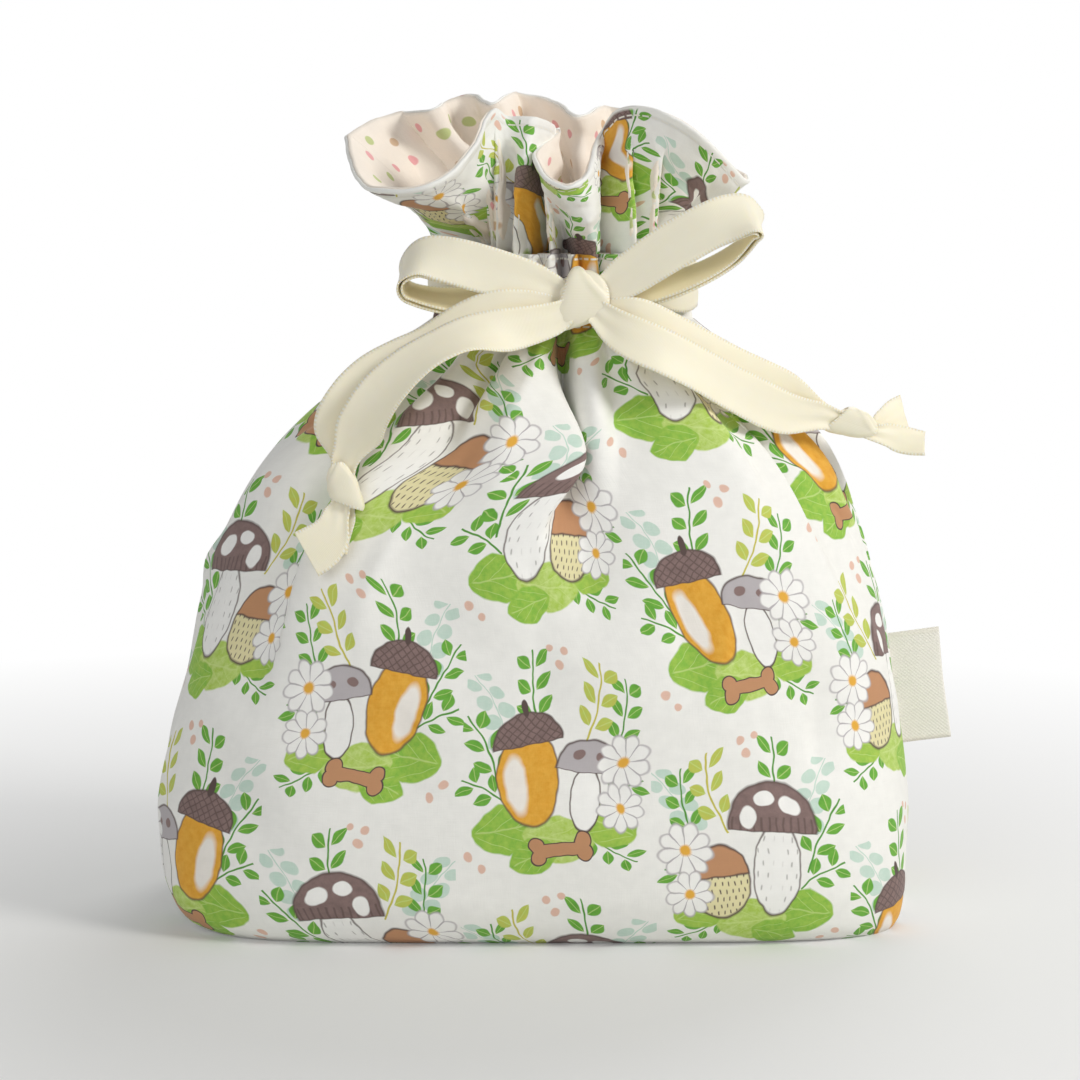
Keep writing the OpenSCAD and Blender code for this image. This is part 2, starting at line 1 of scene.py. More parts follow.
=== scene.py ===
import bpy
import bmesh
import math
import numpy as np
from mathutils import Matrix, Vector


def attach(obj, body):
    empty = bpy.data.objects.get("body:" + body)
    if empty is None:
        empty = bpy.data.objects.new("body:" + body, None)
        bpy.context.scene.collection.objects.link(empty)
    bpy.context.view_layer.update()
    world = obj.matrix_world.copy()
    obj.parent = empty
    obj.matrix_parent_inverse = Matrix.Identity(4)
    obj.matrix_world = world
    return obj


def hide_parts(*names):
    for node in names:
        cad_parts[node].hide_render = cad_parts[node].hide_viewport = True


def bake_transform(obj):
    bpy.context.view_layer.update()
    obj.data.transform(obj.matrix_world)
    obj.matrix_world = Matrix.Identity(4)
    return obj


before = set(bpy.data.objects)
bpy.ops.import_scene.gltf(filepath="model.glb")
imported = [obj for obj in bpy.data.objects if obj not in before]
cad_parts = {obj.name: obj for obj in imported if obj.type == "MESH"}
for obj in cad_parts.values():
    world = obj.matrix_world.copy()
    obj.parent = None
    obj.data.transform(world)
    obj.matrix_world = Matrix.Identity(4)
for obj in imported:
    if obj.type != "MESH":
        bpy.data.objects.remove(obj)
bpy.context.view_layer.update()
mm = 0.001
print("frame loaded")

# millimetres and degrees
cameraView = {"target": (1.5, 0, 82), "distance": 640, "elevation": 8, "lens": 96}


def addObject(name, data):
    made = bpy.data.objects.new(name, data)
    bpy.context.scene.collection.objects.link(made)
    return made


def makeCamera(view):
    rise = math.radians(view["elevation"])
    target = Vector(view["target"]) * mm
    away = Vector((0, -math.cos(rise), math.sin(rise))) * view["distance"] * mm
    data = bpy.data.cameras.new("studioCamera")
    data.lens = view["lens"]
    data.clip_start = 0.02
    data.clip_end = 20
    camera = addObject("studioCamera", data)
    camera.location = target + away
    camera.rotation_euler = (-away).to_track_quat("-Z", "Y").to_euler()
    bpy.context.scene.camera = camera


makeCamera(cameraView)


def curveThrough(table, t):
    # smooth curve through the rows of a table, at places t counted in rows
    p = np.asarray(table, float)
    i = np.clip(np.floor(t).astype(int), 0, len(p) - 2)
    f = (t - i)[:, None]
    p0, p1 = p[np.maximum(i - 1, 0)], p[i]
    p2, p3 = p[i + 1], p[np.minimum(i + 2, len(p) - 1)]
    return 0.5 * (2 * p1 + (p2 - p0) * f + (2 * p0 - 5 * p1 + 4 * p2 - p3) * f * f
                  + (3 * p1 - p0 - 3 * p2 + p3) * f ** 3)


def easeTable(x, xs, ys):
    # monotone smooth curve through (xs, ys)
    steps = np.diff(ys) / np.diff(xs)
    slopes = np.zeros(len(xs))
    same = steps[:-1] * steps[1:] > 0
    slopes[1:-1][same] = 2 * (steps[:-1] * steps[1:])[same] / (steps[:-1] + steps[1:])[same]
    slopes[0], slopes[-1] = steps[0], steps[-1]
    x = np.clip(x, xs[0], xs[-1])
    i = np.clip(np.searchsorted(xs, x) - 1, 0, len(xs) - 2)
    w = xs[i + 1] - xs[i]
    t = (x - xs[i]) / w
    rise = t * t * (3 - 2 * t)
    return (1 - rise) * ys[i] + rise * ys[i + 1] + w * t * (1 - t) * ((1 - t) * slopes[i] - t * slopes[i + 1])


def smoothStep(t):
    t = np.clip(t, 0, 1)
    return t * t * (3 - 2 * t)


def softNoise(x, y, scale, seed):
    # a few crossed waves, the same on every run
    total = np.zeros(np.broadcast(x, y).shape)
    for k in range(5):
        turn = seed * 1.7 + k * 2.399
        wave = (0.7 + 0.35 * k) / scale
        total = total + np.sin((x * math.cos(turn) + y * math.sin(turn)) * wave * 2 * math.pi
                               + seed * 3.1 + k * 1.3) / (1 + 0.5 * k)
    return total / 3


def stepsAlong(points):
    # the first step is nought
    return np.linalg.norm(np.diff(points, axis=0, prepend=points[:1]), axis=-1)


def walkedAlong(points):
    # distance from the first point of a line, or of each line across a grid
    return np.cumsum(stepsAlong(points), axis=0)


def unitRows(v):
    return v / np.maximum(np.linalg.norm(v, axis=-1, keepdims=True), 1e-12)


def placesOf(*parts):
    # joins numbers or arrays of coordinates into an array of places
    return np.stack(np.broadcast_arrays(*parts), axis=-1)


def wallNormals(points):
    # at the side seams, the first and the last column, they lie in the plane between front and back
    out = np.cross(np.gradient(points, axis=0), np.gradient(points, axis=1))
    out[[0, -1], :, 1] = 0
    return unitRows(out)


def clothGrid(name, points, cloth, materials, thickness=0, offset=-1, wrapped=False):
    # a bmesh grid, laid over an array of places; cloth holds flat cloth places in metres
    cols, rows = points.shape[:2]
    bm = bmesh.new()
    bmesh.ops.create_grid(bm, x_segments=cols - 1, y_segments=rows - 1, size=1)
    flatMap = bm.loops.layers.uv.new("clothMap")
    places = {}
    for v in bm.verts:
        places[v] = round((v.co.x + 1) / 2 * (cols - 1)), round((v.co.y + 1) / 2 * (rows - 1))
        v.co = points[places[v]]
    for face in bm.faces:
        for loop in face.loops:
            loop[flatMap].uv = 0.5 + cloth[places[loop.vert]] * 4
    if wrapped:
        bmesh.ops.remove_doubles(bm, verts=bm.verts, dist=1e-6)
    bmesh.ops.dissolve_degenerate(bm, dist=1e-7, edges=bm.edges)
    obj = finishMesh(name, bm, materials)
    if thickness:
        wall = obj.modifiers.new("thickness", "SOLIDIFY")
        wall.thickness = thickness
        wall.offset = offset
        wall.use_even_offset = False
        if len(materials) > 1:
            wall.material_offset = 1
            wall.material_offset_rim = 0
    return obj


def finishMesh(name, bm, materials):
    mesh = bpy.data.meshes.new(name)
    bm.to_mesh(mesh)
    bm.free()
    mesh.shade_smooth()
    for material in materials:
        mesh.materials.append(material)
    return addObject(name, mesh)


def operation(kind):
    return lambda self, *others: self.tree.maths(kind, self, *others)


class Value:
    # wraps a shader socket, so that a pattern reads as plain sums
    __add__ = __radd__ = operation("ADD")
    __sub__ = operation("SUBTRACT")
    __mul__ = __rmul__ = operation("MULTIPLY")
    __truediv__ = operation("DIVIDE")
    __abs__ = operation("ABSOLUTE")
    floor = operation("FLOOR")
    wrap = operation("FLOORED_MODULO")
    sine = operation("SINE")
    least = operation("MINIMUM")
    most = operation("MAXIMUM")

    def __init__(self, tree, socket):
        self.tree = tree
        self.socket = socket

    def __rsub__(self, other):
        return self.tree.maths("SUBTRACT", other, self)

    def below(self, edge, soft):
        # 1 below the edge, 0 above it
        return self.tree.ramp(self, edge - soft, edge + soft, 1, 0)

    def above(self, edge, soft):
        return self.tree.ramp(self, edge - soft, edge + soft, 0, 1)


class Shader:
    # the nodes of a material or a world
    def __init__(self, owner):
        owner.use_nodes = True
        self.owner = owner
        self.nodes = owner.node_tree.nodes
        self.links = owner.node_tree.links
        self.nodes.clear()

    def plug(self, socket, value):
        if isinstance(value, Value):
            self.links.new(value.socket, socket)
        elif isinstance(value, str):
            socket.default_value = hexColour(value)
        else:
            socket.default_value = value

    def node(self, kind, settings, inputs):
        made = self.nodes.new(kind)
        for key, value in settings.items():
            setattr(made, key, value)
        for key, value in inputs.items():
            self.plug(made.inputs[key], value)
        return made

    def value(self, kind, settings, inputs, out=0):
        return Value(self, self.node(kind, settings, inputs).outputs[out])

    def maths(self, kind, *values):
        return self.value("ShaderNodeMath", {"operation": kind}, dict(enumerate(values)))

    def ramp(self, value, low, high, start, end):
        return self.value("ShaderNodeMapRange", {}, {0: value, 1: low, 2: high, 3: start, 4: end})

    def vector(self, kind, *values):
        return self.value("ShaderNodeVectorMath", {"operation": kind}, dict(enumerate(values)),
                          "Value" if kind == "LENGTH" else "Vector")

    def scaled(self, vector, factor):
        return self.value("ShaderNodeVectorMath", {"operation": "SCALE"}, {0: vector, "Scale": factor})

    def clothPlace(self):
        # flat cloth place in millimetres
        place = self.value("ShaderNodeUVMap", {"uv_map": "clothMap"}, {})
        return self.vector("MULTIPLY_ADD", place, (250, 250, 0), (-125, -125, 0))

    def parts(self, vector):
        made = self.node("ShaderNodeSeparateXYZ", {}, {0: vector})
        return [Value(self, socket) for socket in made.outputs[:2]]

    def joined(self, x, y):
        return self.value("ShaderNodeCombineXYZ", {}, {0: x, 1: y, 2: 0})

    def placed(self, vector, x, y, turn, wide=1, tall=1):
        # the vector as seen from a motif at (x, y), turned by so many degrees
        return self.value("ShaderNodeMapping", {"vector_type": "TEXTURE"},
                          {"Vector": vector, "Location": (x, y, 0),
                           "Rotation": (0, 0, math.radians(turn)), "Scale": (wide, tall, 1)})

    def mix(self, under, over, share):
        return self.value("ShaderNodeMix", {"data_type": "RGBA"}, {0: share, 6: under, 7: over}, 2)

    def noise(self, vector, scale, detail, rough=0.5, out=0):
        return self.value("ShaderNodeTexNoise", {}, {"Vector": vector, "Scale": scale, "Detail": detail,
                                                     "Roughness": rough}, out)

    def threads(self, place, length):
        # two sets of fine threads with slubs, that many times as long as a millimetre of noise
        return self.noise(self.placed(place, 0, 0, 0, 0.28, length), 1, 3) \
            + self.noise(self.placed(place, 0, 0, 0, length, 0.28), 1, 3)

    def bump(self, height, distance, strength):
        return self.value("ShaderNodeBump", {},
                          {"Height": height, "Distance": distance, "Strength": strength})

    def layered(self, share, under, over):
        return self.value("ShaderNodeMixShader", {}, {0: share, 1: under, 2: over})

    def finish(self, inputs):
        surface = self.value("ShaderNodeBsdfPrincipled", {}, inputs)
        self.node("ShaderNodeOutputMaterial", {}, {0: surface})
        return self.owner


def hexColour(text):
    channels = [int(text[i:i + 2], 16) / 255 for i in (1, 3, 5)]
    return [c / 12.92 if c <= 0.04045 else ((c + 0.055) / 1.055) ** 2.4 for c in channels] + [1]


printInks = {
    "cloth": "#F8F7F2", "leaf": "#74B644", "leafDark": "#579A38", "pad": "#B0CF58",
    "padDark": "#8ABF48", "padLight": "#D3E596", "ochreLeaf": "#CCC455", "teal": "#C6DFD0",
    "lime": "#C0D062", "brown": "#8D7672", "brownDark": "#75615D", "ochreDark": "#E09A2A",
    "outline": "#5B4B47", "ochre": "#EDB345", "cream": "#EBE2B2", "tan": "#C6936C",
    "grey": "#BDB7B9", "white": "#FBFAF6", "rose": "#E9C3B0"}
printLayout = {"cellWide": 43, "cellTall": 53, "drop": 19, "motif": 1.14, "slide": 17, "lift": 14}


def paintPrint(s, place, inks, layout):
    # clusters of mushrooms, acorns, blossoms and biscuits on leaf pads; every third column
    # stands level, and those between are dropped by a part of the repeat
    u, v = s.parts(place)
    u, v = u + layout["slide"], v + layout["lift"]
    tall, wide = layout["cellTall"], layout["cellWide"]
    column = (u / wide).floor()
    v = v + column.wrap(3) * layout["drop"]
    row = (v / tall).floor()
    kind = (column + row).wrap(2).above(0.5, 0.1)
    x = (u - column * wide - wide / 2) / layout["motif"]
    y = (v - row * tall - tall / 2) / layout["motif"]
    flip = 1 - 2 * (column * 2 + row * 3).wrap(5).above(2.4, 0.01)
    wash = s.noise(place, 0.35, 2)
    bloom = s.noise(place, 0.55, 3, 0.65)
    wobble = s.scaled(s.vector("SUBTRACT", s.noise(place, 0.24, 1, out=1), (0.5, 0.5, 0.5)), 1.1)
    p = s.vector("ADD", s.joined(x * flip, y), wobble)
    p = s.vector("MULTIPLY", p, (1, 1, 0))
    colour = inks["cloth"]

    def paint(mask, ink):
        nonlocal colour
        colour = s.mix(colour, inks.get(ink, ink), mask)

    def washed(ink, other, share=0.75):
        # uneven ink, as a brush leaves it
        return s.mix(inks[ink], inks[other], bloom.above(0.52, 0.16) * share)

    def motif(cx, cy, turn, rx, ry):
        # across, up, and distance from the middle, each a share of the motif's own size
        local = s.placed(p, cx, cy, turn, rx, ry)
        return (*s.parts(local), s.vector("LENGTH", local))

    def leafSprig(cx, cy, turn, count, size, bend, ink="leaf", dark="leafDark"):
        # pairs of pointed leaves along a bent stem
        n, t = s.parts(s.placed(p, cx, cy, turn, size, size))
        n = n + t * t * bend
        step = t.wrap(3.9)
        lx, ly = s.parts(s.placed(s.joined(step, abs(n)), 2.4, 1.9, 48, 1.85, 1.05))
        leaf = (lx * lx + abs(ly)).below(0.95, 0.08)
        inside = t.above(0, 0.05) * t.below(3.9 * count, 0.05)
        paint(abs(n).below(0.17, 0.05) * t.above(-2.4, 0.05) * t.below(3.9 * count, 0.05), dark)
        paint(leaf * inside, washed(ink, dark, 0.6))
        paint(abs(ly).below(0.07, 0.04) * leaf * inside * 0.6, "padLight")

    def roundSprig(cx, cy, turn, count, size, bend, only):
        # round leaves to the left and right of a bent stem by turns, smaller towards its tip
        n, t = s.parts(s.placed(p, cx, cy, turn, size, size))
        n = n + t * t * bend
        step = (t + n.above(0, 0.01) * 1.8).wrap(3.6) - 1.8
        disc = s.vector("LENGTH", s.joined(step * 1.08, abs(n) - 1.75)) + t * 0.035
        inside = t.above(0, 0.05) * t.below(3.6 * count, 0.05) * only
        paint(disc.below(1.85, 0.1).most(abs(n).below(0.13, 0.04)) * inside * (bloom * 0.5 + 0.62),
              "teal")

    def pad(cx, cy, rx, ry, turn, ink, other):
        lx, ly, far = motif(cx, cy, turn, rx, ry)
        body = far + abs(lx * ly) * 0.3 - (lx + 0.9).least(0) * 0.8
        paint(body.below(1, 0.04), washed(ink, other))
        vein = abs(ly - lx * lx * 0.1).below(0.03, 0.02).most(
            abs((abs(ly) - lx * 0.8).wrap(0.5) - 0.25).below(0.014, 0.014))
        paint(vein * body.below(0.85, 0.05) * 0.6, "padLight")

    def lined(shape, width, ink, only):
        fill = shape.below(1 - width, 0.03) * only
        paint(shape.below(1, 0.03) * only, "outline")
        paint(fill, ink)
        return fill

    first, second = 1 - kind, kind

    # greenery, much the same for both kinds of cluster
    roundSprig(-10, 2, 8, 4, 1, 0.026, 1)
    roundSprig(11.5, 3, -16, 4, 0.95, -0.022, first)
    for row in ((-4.5, 7, 14, 3, 1.1, -0.02), (12, 3, -18, 3, 1, 0.02),
                (6, 5, -24, 3, 1.1, 0.02, "lime", "ochreLeaf"), (-10.5, -7, 58, 2, 1, 0.02),
                (-11, -3, 20, 3, 1.1, 0.02), (10.5, -7, -56, 2, 0.95, -0.02),
                (6.5, -14, -132, 3, 0.85, 0.02)):
        leafSprig(*row)
    for row in ((-9.5, -13, 6.6, 4.8, 12, "padDark", "pad"), (10, -12, 6.2, 4.4, 162, "pad", "padDark"),
                (0.5, -14.8, 7, 4.8, -6, "pad", "padLight"), (-4, -18, 5, 3.6, 200, "padDark", "pad")):
        pad(*row)

    # tall mushroom with a brown cap, in the first kind
    stemX, stemY, stem = motif(-4.2, -4.5, 4, 4.6, 9.4)
    stemFill = lined(stem, 0.055, "white", first)
    tick = abs((stemX + (stemY * 4).floor().wrap(2) * 0.2).wrap(0.4) - 0.2).below(0.028, 0.02) \
        * abs(stemY.wrap(0.25) - 0.125).below(0.05, 0.02)
    paint(tick * stemFill * abs(stemX).above(0.25, 0.1) * 0.55, "outline")
    cx, cy, cap = motif(-3.8, 4, 5, 8.8, 8.2)
    capFill = lined(cap.most(0.62 - cy * 2.2), 0.045, washed("brown", "brownDark", 0.6), first)
    gills = abs(cx.wrap(0.16) - 0.08).below(0.022, 0.012)
    paint(gills * cy.below(0.16, 0.01) * capFill * 0.6, "outline")
    for spot in ((-7.6, 7.2, 30, 2.4, 1.6), (-2.6, 9, 0, 1.9, 1.4), (0.8, 5.6, 10, 1.7, 2.1)):
        paint(motif(*spot)[2].below(1, 0.08) * first, "white")

    # cream nut with dashes, in the first kind
    nx, ny, nut = motif(6.6, -6.4, -6, 5.6, 7.2)
    nutFill = lined(nut + ny * 0.08, 0.06, "cream", first)
    stagger = (ny / 0.2).floor().wrap(2) * 0.11
    dash = abs((nx + stagger).wrap(0.22) - 0.11).below(0.022, 0.012) \
        * abs(ny.wrap(0.2) - 0.1).below(0.055, 0.02)
    paint(dash * nutFill, "outline")
    lined(nut.most(1.12 - ny * 1.4), 0.06, "tan", first)

    # acorn in ochre, in the second kind
    acornY, acorn = motif(-5, -3.8, 10, 5.9, 9.4)[1:]
    lined(acorn - acornY * 0.06, 0.045, washed("ochre", "ochreDark", 0.7), second)
    paint(motif(-7.2, -4.6, 12, 2.1, 5.4)[2].below(1, 0.16) * second * 0.9, "white")
    ux, uy, cup = motif(-5.9, 3.6, 10, 6.9, 5.2)
    cupFill = lined(cup.most(0.7 - uy * 1.6), 0.06, washed("brown", "brownDark", 0.6), second)
    hatch = abs((ux + uy * 0.8).wrap(0.26) - 0.13).below(0.025, 0.014).most(
        abs((ux - uy * 0.8).wrap(0.26) - 0.13).below(0.025, 0.014))
    paint(hatch * cupFill * 0.7, "outline")
    paint(motif(-6.9, 9.4, 12, 0.7, 1.8)[2].below(1, 0.08) * second, "outline")

    # grey mushroom beside it, in the second kind
    lined(motif(6, -7.4, -5, 3, 6.4)[2], 0.08, "white", second)
    smallY, small = motif(6.4, -1.4, -8, 6.4, 5.4)[1:]
    lined(small.most(0.62 - smallY * 2), 0.06, "grey", second)
    for spot in ((4.4, 1, 20, 1.2, 0.9), (8.6, 0.4, 0, 1, 0.8)):
        paint(motif(*spot)[2].below(1, 0.1) * second, "brown")

    # bone biscuit under the second kind
    bx, by = s.parts(s.placed(p, 1, -16.6, 8, 1, 1))
    ends = s.vector("LENGTH", s.joined(abs(bx) - 4.4, abs(by) - 1.1)) / 1.7
    bone = ends.least((abs(by) / 1.35).most(abs(bx) / 4.4))
    lined(bone, 0.16, "tan", second)

    # blossoms with fine grey lines
    for cx0, cy0, size in ((13.2, -0.5, 5.4), (12.6, -9, 4.6)):
        fx, fy, radius = motif(cx0, cy0, 8, size, size)
        petals = abs((s.maths("ARCTAN2", fy, fx) * 4.5).sine())
        petal = radius - petals * 0.22 + 0.2
        paint(petal.below(1, 0.04), "grey")
        paint(petal.below(0.93, 0.04) * petals.above(0.2, 0.08), "white")
        paint(radius.below(0.2, 0.05), "ochre")

    # small berries that fill the gaps
    for cx0, cy0, size in ((0.5, 17.5, 0.9), (1.9, 20, 0.8), (-0.9, 20.8, 0.7), (-16.5, -18, 0.9),
                           (-14, -20.2, 0.8)):
        paint(motif(cx0, cy0, 0, size, size)[2].below(1, 0.12), "rose")
    return s.scaled(colour, wash * 0.1 + 0.95)


def clothMaterial(name, inks, layout, stitching, rim):
    s = Shader(bpy.data.materials.new(name))
    place = s.clothPlace()
    u, v = s.parts(place)
    colour = s.mix(paintPrint(s, place, inks, layout), inks["cloth"], v.above(rim - 0.5, 0.4))
    threads = s.threads(place, 3.2)
    colour = s.scaled(colour, threads * 0.05 + 0.95)
    height = threads * 0.5
    pitch = stitching["pitch"]
    for rowAt in stitching["rows"]:
        # a row of machine stitches with a soft groove under it; the cloth beside the stitches is darkened as
        # painted shade in the groove
        line = abs(v - rowAt)
        dash = abs(u.wrap(pitch) - pitch / 2).below(pitch * 0.36, 0.15)
        stitch = line.below(0.22, 0.08) * dash
        colour = s.mix(colour, "#F1EEE4", stitch)
        # painted shade: the cloth near the row, between the stitches, is darkened by up to a tenth
        colour = s.scaled(colour, 1 - line.below(0.5, 0.35) * (1 - stitch) * 0.1)
        height = height + stitch * 1.2 - line.below(0.7, 0.6) * 0.9
    normal = s.bump(height, 0.00012, 0.5)
    return s.finish({"Base Color": colour, "Roughness": 0.78, "Normal": normal,
                     "Specular IOR Level": 0.3, "Sheen Weight": 0.12, "Sheen Roughness": 0.5})


liningInks = {"cloth": "#FBF1E4", "first": "#EB9AA0", "second": "#BBCB7A", "third": "#D2AE86"}


def liningMaterial(name, inks):
    s = Shader(bpy.data.materials.new(name))
    place = s.clothPlace()
    cell = 8.6
    grid = s.scaled(place, 1 / cell)
    base = s.vector("FLOOR", grid)
    chance = s.node("ShaderNodeTexWhiteNoise", {"noise_dimensions": "2D"}, {"Vector": base})
    jitter = Value(s, chance.outputs["Color"])
    pick = Value(s, chance.outputs["Value"])
    local = s.vector("SUBTRACT", s.vector("SUBTRACT", grid, base), (0.5, 0.5, 0))
    shift = s.scaled(s.vector("SUBTRACT", jitter, (0.5, 0.5, 0.5)), 0.42)
    away = s.vector("MULTIPLY", s.vector("SUBTRACT", local, shift), (cell, cell, 0))
    dot = s.vector("LENGTH", away).below(1.35, 0.15)
    ink = s.mix(s.mix(inks["first"], inks["second"], pick.above(0.4, 0.01)), inks["third"],
                pick.above(0.75, 0.01))
    colour = s.mix(inks["cloth"], ink, dot * pick.above(0.06, 0.01) * 0.85)
    threads = s.threads(place, 3)
    colour = s.scaled(colour, threads * 0.05 + 0.95)
    return s.finish({"Base Color": colour, "Roughness": 0.82,
                     "Normal": s.bump(threads, 0.0001, 0.5), "Sheen Weight": 0.1})


# face is the ribbon's colour; back, a yellower copy used for the reverse face, stands for painted shade and
# warm light between the strands; edge is a painted highlight on the picot loops, and the last colour is
# painted shade
satinLook = {"face": "#FBF3DC", "back": "#F8E9BE", "edge": "#FCFAF0", "paintedShade": "#F2E4BC"}


def satinMaterial(name, colourName, look, width):
    # cloth place: u runs along the ribbon, v from one selvage to the other
    s = Shader(bpy.data.materials.new(name))
    place = s.clothPlace()
    u, v = s.parts(place)
    rim = width / 2 - abs(v)
    # painted shade: slow noise streaks along the ribbon mix the face towards a darker, yellower colour, and
    # also vary the roughness
    wave = s.noise(s.placed(place, 0, 0, 0, 14, 2.5), 1, 2)
    colour = s.mix(look[colourName], look["paintedShade"], wave * 0.2)
    # painted highlight: the picot loops of the selvage are mixed towards a paler colour, with painted shade
    # between them; the same mask also raises the loops in the bump
    picot = abs(u.wrap(0.75) - 0.375).below(0.2, 0.1)
    selvage = rim.below(0.55, 0.12)
    colour = s.mix(colour, look["edge"], selvage * picot * 0.7)
    colour = s.mix(colour, look["paintedShade"], selvage * (1 - picot) * 0.5)
    ribs = (u * 21).sine() * 0.5 + s.noise(s.placed(place, 0, 0, 0, 0.25, 6), 1, 2)
    height = ribs * 0.25 + selvage * (picot * 0.7 + 0.4)
    rough = 0.42 + selvage * 0.25 + wave * 0.1
    return s.finish({"Base Color": colour, "Roughness": rough, "Specular IOR Level": 0.3,
                     "Normal": s.bump(height, 0.00009, 0.45), "Anisotropic": 0.35,
                     "Sheen Weight": 0.2, "Sheen Roughness": 0.35, "Subsurface Weight": 0.2,
                     "Subsurface Radius": (1, 0.75, 0.35), "Subsurface Scale": 0.0012})


def tapeMaterial(name, half):
    s = Shader(bpy.data.materials.new(name))
    place = s.clothPlace()
    u, v = s.parts(place)
    weave = (u * 7.5).sine() * (v * 7.5).sine()
    grain = s.noise(place, 1.3, 3)
    edge = (half - abs(v)).below(1, 0.2)
    colour = s.mix("#F4F1E8", "#E7E2D4", weave * 0.18 + grain * 0.3)
    colour = s.mix(colour, "#ECE7D9", edge * 0.5)
    height = weave * 0.6 + grain * 0.6 + edge * 0.5
    return s.finish({"Base Color": colour, "Roughness": 0.85,
                     "Normal": s.bump(height, 0.00012, 0.5), "Sheen Weight": 0.1})


# millimetres, a share of the corner's rounding, and counts across, up the wall and in the base
bagShape = {
    "base": (146, 72), "belly": (165, 88), "neck": (56, 44), "neckTop": 146, "neckShift": 6.5,
    "pleatDeep": 6, "rightCorner": 0.75,
    "halfBase": 36, "printWide": 226, "printAtNeck": 160,
    "counts": (400, 104, 8), "liningCounts": (130, 70, 8)}
channel = {"foot": 0.895, "middle": 0.945, "slit": 0.948, "top": 0.993}  # shares of the height

# height share, share of the base's size, share of the neck's size, squareness
wallRows = np.array([
    (0, 1, 0, 5), (0.015, 0.58, 0, 4.6), (0.04, 0.28, 0, 4.2),
    (0.08, 0.07, 0, 3.9), (0.16, 0, 0, 3.5), (0.26, 0, 0.03, 3.2),
    (0.36, 0, 0.07, 3), (0.47, 0, 0.13, 2.8), (0.57, 0, 0.21, 2.6),
    (0.65, 0, 0.3, 2.4), (0.71, 0, 0.4, 2.3), (0.76, 0, 0.52, 2.2),
    (0.8, 0, 0.65, 2.1), (0.84, 0, 0.79, 2), (0.88, 0, 0.91, 2),
    (0.91, 0, 1, 2), (1, 0, 1, 2)])

neckAt = 0.91  # height share above which the neck is straight

# angle at the neck, angle at the foot, height share of the foot, depth, widths in degrees
gathers = np.array([
    (190, 193, 0.74, 0.6, 3.4, 5), (202, 206, 0.66, 0.8, 3.4, 6), (214, 222, 0.58, 0.9, 3.6, 6),
    (227, 229, 0.46, 1, 3.8, 6), (240, 244, 0.7, 0.9, 3.4, 5), (250, 252, 0.74, 0.7, 3, 4),
    (259, 260, 0.78, 0.8, 3, 4), (269, 270, 0.6, 1.2, 3.8, 4), (279, 279, 0.76, 0.8, 3, 4),
    (289, 288, 0.7, 0.8, 3.4, 5), (300, 298, 0.76, 0.9, 3.4, 5), (312, 313, 0.5, 1.1, 3.8, 6),
    (325, 322, 0.68, 0.9, 3.4, 5), (337, 334, 0.64, 0.8, 3.6, 6), (349, 347, 0.74, 0.6, 3.4, 5),
    (11, 13, 0.74, 0.6, 3.4, 5), (24, 27, 0.62, 0.9, 3.6, 6), (37, 39, 0.7, 0.8, 3.4, 5),
    (50, 52, 0.54, 1, 3.8, 6), (63, 64, 0.72, 0.8, 3.4, 5), (76, 75, 0.62, 1.1, 3.8, 5),
    (89, 89, 0.74, 0.8, 3.4, 4), (102, 103, 0.66, 1, 3.6, 5), (115, 117, 0.52, 1.1, 3.8, 6),
    (128, 127, 0.72, 0.8, 3.4, 5), (141, 139, 0.64, 0.9, 3.6, 5), (154, 152, 0.56, 0.9, 3.8, 6),
    (167, 165, 0.74, 0.6, 3.4, 5)])

# long soft folds: angle and height share at the top and at the foot, depth in mm
# (a ridge is negative), widths to the left and right in degrees, place of the deepest
# part, and how far the cloth beside it rolls over it, in degrees
longFolds = np.array([
    (269, 0.95, 272.5, 0.58, 12.5, 2.6, 6, 0.62, 10), (260.5, 0.97, 260.5, 0.6, -3.6, 6, 6.5, 0.5, 0),
    (249, 0.96, 247, 0.66, 5, 5.5, 3, 0.4, -3), (277.5, 0.97, 281, 0.68, -2.6, 3, 3.5, 0.4, 0),
    (287, 0.94, 283, 0.56, 4.4, 4.5, 8, 0.5, 0), (304, 0.94, 318, 0.4, -4.2, 9, 4, 0.4, 0),
    (313, 0.94, 328, 0.46, 6, 3, 9, 0.4, 5), (226, 0.95, 202, 0.72, 6, 6, 4.5, 0.5, -4),
    (239, 0.94, 233, 0.42, -3.4, 4, 7, 0.4, 0), (233, 0.9, 225, 0.34, 5.5, 10, 2.6, 0.5, -4.5),
    (212, 0.92, 196, 0.44, -1.8, 5, 6, 0.5, 0), (343, 0.92, 350, 0.46, 2.2, 6, 8, 0.4, 0),
    (246, 0.6, 262, 0.34, 1.4, 8, 10, 0.5, 0), (300, 0.52, 322, 0.22, 1.6, 9, 7, 0.5, 0),
    (276, 0.6, 268, 0.4, 1.6, 7, 10, 0.3, 0), (216, 0.34, 236, 0.1, 1.6, 9, 7, 0.5, 0),
    (271, 0.95, 274.5, 0.64, 6, 1.1, 2.6, 0.55, 0), (276, 0.7, 279, 0.44, 2.6, 4, 7, 0.45, 0),
    (96, 0.94, 84, 0.46, 5, 3, 8, 0.4, 5), (70, 0.94, 46, 0.42, 4.6, 4, 9, 0.45, 4),
    (58, 0.92, 34, 0.44, -2.6, 7, 5, 0.4, 0), (122, 0.94, 140, 0.42, 5, 9, 4, 0.4, -4),
    (134, 0.93, 154, 0.46, -2.4, 5, 8, 0.4, 0), (106, 0.95, 111, 0.5, -2.4, 6, 6, 0.4, 0),
    (150, 0.94, 168, 0.5, 3, 6, 6, 0.4, 0), (30, 0.94, 16, 0.52, 3, 6, 6, 0.4, 0)])


